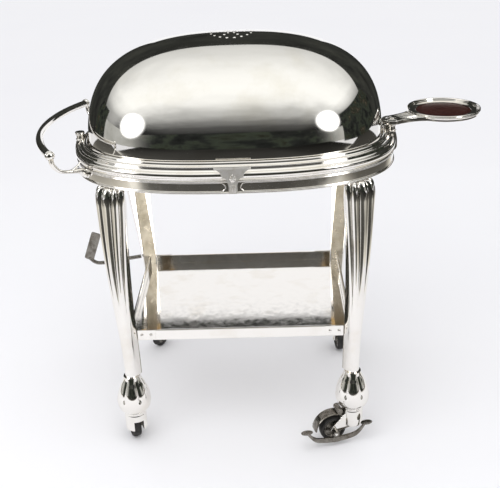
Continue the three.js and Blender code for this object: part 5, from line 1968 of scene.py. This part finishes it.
@dataclass
class Studio:
    """A pale floor in soft light, with the lit and dark cards that the silver mirrors."""

    focal: float = 880.0  # in pixels of a picture 500 wide
    picture_width: float = 500.0
    sensor: float = 36.0
    camera_place: Point = (0.0867, -2.3613, 1.5455)
    camera_turns: Point = (1.388, 66.04, -2.086)  # about Z, then X, then Z again, in degrees
    floor_radius: float = 14.0
    paper: tuple[str, str] = ("#F0F0F1", "#EDEDEF")
    wide: float = 9.0  # how far the widest cards reach to each side
    ceiling_z: float = 2.8
    paper_half: float = 2.3
    paper_y: float = 2.0
    paper_top: float = 1.50
    dark_floor_y: float = -1.6
    dim_ahead: Pair = (-0.50, -0.84)  # how far to the front the dim room begins and is full
    dim_below: Pair = (0.46, 0.28)  # and how far down

    def camera(self) -> None:
        """Set the camera at the photograph's place."""
        clear_selection()
        bpy.ops.object.camera_add(location=(0, 0, 0))
        camera = bpy.context.active_object
        camera.name = "studio_camera"
        camera.data.sensor_width = self.sensor
        camera.data.lens = self.focal * self.sensor / self.picture_width
        turn = Matrix.Identity(4)
        for angle, axis in zip(self.camera_turns, "ZXZ"):
            turn = turn @ Matrix.Rotation(math.radians(angle), 4, axis)
        camera.matrix_world = Matrix.Translation(self.camera_place) @ turn
        camera.data.dof.use_dof = False
        bpy.context.scene.camera = camera

    def floor(self) -> None:
        """The pale floor: a wide disc of matt paper."""
        clear_selection()
        bpy.ops.mesh.primitive_circle_add(vertices=96, radius=self.floor_radius, fill_type="NGON")
        floor = bpy.context.active_object
        floor.name = "studio_floor"
        material = bpy.data.materials.new("matt_backdrop_paper")
        material.use_nodes = True
        tree = material.node_tree
        shader = tree.nodes["Principled BSDF"]
        clouds = clouds_of(tree, place_of(tree), 0.9, 2.0)
        colour = mixed(tree, clouds, srgb(self.paper[0]), srgb(self.paper[1]))
        tree.links.new(colour, shader.inputs["Base Color"])
        shader.inputs["Roughness"].default_value = 0.9
        shader.inputs["Specular IOR Level"].default_value = 0.1
        floor.data.materials.append(material)

    @staticmethod
    def corners(start: Point, end: Point) -> list[Point]:
        """The corners of a card between two opposite ones, where its first edge runs along X."""
        return [start, (end[0], *start[1:]), end, (start[0], *end[1:])]

    def card(self, name: str, corners: Sequence[Point], finish: Finish) -> None:
        """A flat card that shows only in polished metal.

        Args:
            name: The card's name.
            corners: Its four corners in metres.
            finish: What it sheds.
        """
        clear_selection()
        bpy.ops.mesh.primitive_plane_add()
        card = bpy.context.active_object
        card.name = name
        first, second, third, fourth = corners
        for vertex, corner in zip(card.data.vertices, (first, second, fourth, third)):
            vertex.co = corner
        card.data.materials.append(finish.material())
        for light in ("camera", "diffuse", "shadow", "transmission", "volume_scatter"):
            setattr(card, f"visible_{light}", False)

    def softbox(self, name: str, place: Point, size: float, strength: float) -> None:
        """A round lamp that looks at the trolley and shows in the silver.

        Args:
            name: The lamp's name.
            place: Its middle in metres.
            size: How wide it is.
            strength: How bright it is.
        """
        clear_selection()
        bpy.ops.mesh.primitive_circle_add(vertices=48, radius=size / 2, fill_type="NGON")
        lamp = bpy.context.active_object
        lamp.name = name
        aim = Vector((0, 0, 0.8)) - Vector(place)
        lamp.data.transform(Matrix.Translation(place) @ aimed(aim))
        glow = LampGlow(f"{name}_glow", None, "#FFFFFF", strength, place, size / 2)
        lamp.data.materials.append(glow.material())
        for light in ("camera", "diffuse", "shadow"):
            setattr(lamp, f"visible_{light}", False)

    def ceiling(self) -> None:
        """The white ceiling, brightest over the photographer's lamps."""
        along = ((-7.5, 0.03), (-5.2, 0.08), (-4.0, 0.2), (-3.1, 0.4), (-2.5, 0.55), (-2.1, 0.72),
                 (-1.7, 0.88), (-1.35, 0.98), (-1.0, 1.0), (-0.4, 0.95), (0.1, 0.82), (0.7, 0.68),
                 (1.6, 0.56))
        side = ((-self.wide, 0.30), (-5.0, 0.42), (-3.6, 0.85), (-2.6, 1.0), (2.8, 1.0), (3.8, 0.6),
                (5.0, 0.16), (self.wide, 0.08))
        glow = GradedGlow("white_ceiling", None, "#FBFBF8", 1.22, along, side)
        z = self.ceiling_z
        self.card("ceiling", self.corners((-self.wide, 1.25, z), (self.wide, -7.5, z)), glow)

    def walls(self) -> None:
        """The back paper, the dark wall over and beside it, and the dim room at the ends."""
        half, y, top, wide = self.paper_half, self.paper_y, self.paper_top, self.wide
        self.card("back_paper", self.corners((-half, y, 0), (half, y, top)),
                  Glow("back_paper_glow", None, "#F3F3F5", 1.14))
        dark = ClutterGlow("dark_wall", None, DARK_WALL, 0.8)
        for name, start, end in (
            ("", (-wide, 2.1, top), (wide, 1.22, self.ceiling_z + 0.2)),
            ("_left", (-wide, 1.95, 0.3), (-0.66, 1.95, 2.9)),
            ("_right", (0.66, 1.95, 0.3), (wide, 1.95, 2.9)),
        ):
            self.card(f"dark_wall_back{name}", self.corners(start, end), dark)
        dim = ClutterGlow("dim_room", None, DIM_ROOM, 0.45)
        for name, x, front, high in (("right", 3.8, -2.2, 2.6), ("left", -4.4, 0.1, 2.4)):
            edge = [(x, front, 0.5), (x, 1.9, 0.5), (x, 1.9, high), (x, front, high)]
            self.card(f"dim_room_{name}", edge, dim)

    def floor_cards(self) -> None:
        """What the silver mirrors of the floor: dim in front of the paper and beside it."""
        z, near, wide = 0.004, self.dark_floor_y, self.wide
        front = GradedGlow(
            "dim_floor_glow", None, "#F2EFE6", 2.8,
            ((-9.0, 0.03), (-4.0, 0.05), (-2.6, 0.07), (-2.05, 0.12), (-1.9, 0.28), (-1.75, 0.56),
             (near, 0.95)),
            ((-wide, 0.2), (-2.6, 0.42), (-1.5, 0.40), (-0.9, 0.357), (1.4, 0.357), (2.4, 0.2),
             (wide, 0.1)))
        edge = [(-4.6, near, z), (4.6, near, z), (15, -15, z), (-15, -15, z)]
        self.card("dim_floor", edge, front)
        beside = GradedGlow(
            "side_floor_glow", None, "#EEE9DD", 1.0, ((near, 1.0), (1.9, 1.0)),
            ((-wide, 0.06), (-3.8, 0.14), (-2.8, 0.30), (-2.0, 0.95), (1.8, 0.95), (2.3, 0.16),
             (3.0, 0.07), (wide, 0.04)))
        for name, inner, outer in (("left", -1.9, -wide), ("right", 1.7, wide)):
            edge = self.corners((inner, near, z), (outer, 1.9, z))
            self.card(f"side_floor_{name}", edge, beside)

    def room(self) -> None:
        """A pale surround for the floor's light, and a greyer room for polished metal."""
        world = bpy.data.worlds.new("studio_room")
        bpy.context.scene.world = world
        world.use_nodes = True
        tree = world.node_tree
        tree.nodes.clear()
        output = add_node(tree, "ShaderNodeOutputWorld")
        way = add_node(tree, "ShaderNodeTexCoord").outputs["Generated"]
        axes = add_node(tree, "ShaderNodeSeparateXYZ", {"Vector": way})
        ahead, low = (ranged(tree, axes.outputs[axis], limits, kind="SMOOTHSTEP")
                      for axis, limits in (("Y", self.dim_ahead), ("Z", self.dim_below)))
        share = add_node(tree, "ShaderNodeMath", {0: ahead, 1: low}, operation="MULTIPLY")
        colour = mixed(tree, share.outputs["Value"], blotches(tree, way, PALE_ROOM, 2.0),
                       blotches(tree, way, DIM_ROOM, 5.0))
        mirrored_room = add_node(tree, "ShaderNodeBackground", {"Color": colour, "Strength": 1.0})
        pale = add_node(tree, "ShaderNodeBackground", {"Color": srgb("#F4F4F6"), "Strength": 1.15})
        ray = add_node(tree, "ShaderNodeLightPath")
        both = add_node(tree, "ShaderNodeMixShader", {"Fac": ray.outputs["Is Glossy Ray"]})
        tree.links.new(pale.outputs["Background"], both.inputs[1])
        tree.links.new(mirrored_room.outputs["Background"], both.inputs[2])
        tree.links.new(both.outputs["Shader"], output.inputs["Surface"])

    def lamp(self, name: str, place: Point, size: float, watts: float) -> None:
        """A wide soft lamp over the floor that doesn't show in the silver.

        Args:
            name: The lamp's name.
            place: Its middle in metres.
            size: How wide it is.
            watts: Its power.
        """
        clear_selection()
        bpy.ops.object.light_add(type="AREA", location=place)
        lamp = bpy.context.active_object
        lamp.name = name
        lamp.data.shape = "DISK"
        lamp.data.size = size
        lamp.data.energy = watts
        aim = Vector((0, 0, 0.4)) - Vector(place)
        lamp.rotation_euler = aim.to_track_quat("-Z", "Y").to_euler()
        lamp.visible_glossy = False

    def build(self) -> None:
        """Set up the picture."""
        self.camera()
        self.floor()
        self.ceiling()
        self.walls()
        self.floor_cards()
        self.softbox("lamp_left", (-2.5, -1.69, 1.78), 1.5, 7.0)
        self.softbox("lamp_right", (2.5, -2.25, 1.97), 1.5, 7.0)
        self.room()
        self.lamp("overhead_lamp", (-0.35, -1.05, 1.9), 1.6, 11)
        bpy.context.scene.view_settings.view_transform = "Standard"


# ------------------------------------------------------------------ the whole trolley

CASTORS = (
    Castor("front_left", -LEG_X, -LEG_Y, 28, 114),
    Castor("front_right", LEG_X, -LEG_Y, 59, 195, braked=True),
    Castor("rear_left", -LEG_X, LEG_Y, 28, 66),
    Castor("rear_right", LEG_X, LEG_Y, 28, 278),
)


def main() -> None:
    """Build the trolley's sub-assemblies in order, then the studio."""
    logging.basicConfig(level=logging.INFO, format="%(message)s")
    parts = (RollCover(), Rim(), EndPosts(), Legs(), Shelf(), Table(), Handle(), PlateStand(),
             *CASTORS)
    for part in parts:
        LOG.info("building %s", type(part).__name__)
        part.build()
    Studio().build()
    clear_selection()


if __name__ == "__main__":
    main()
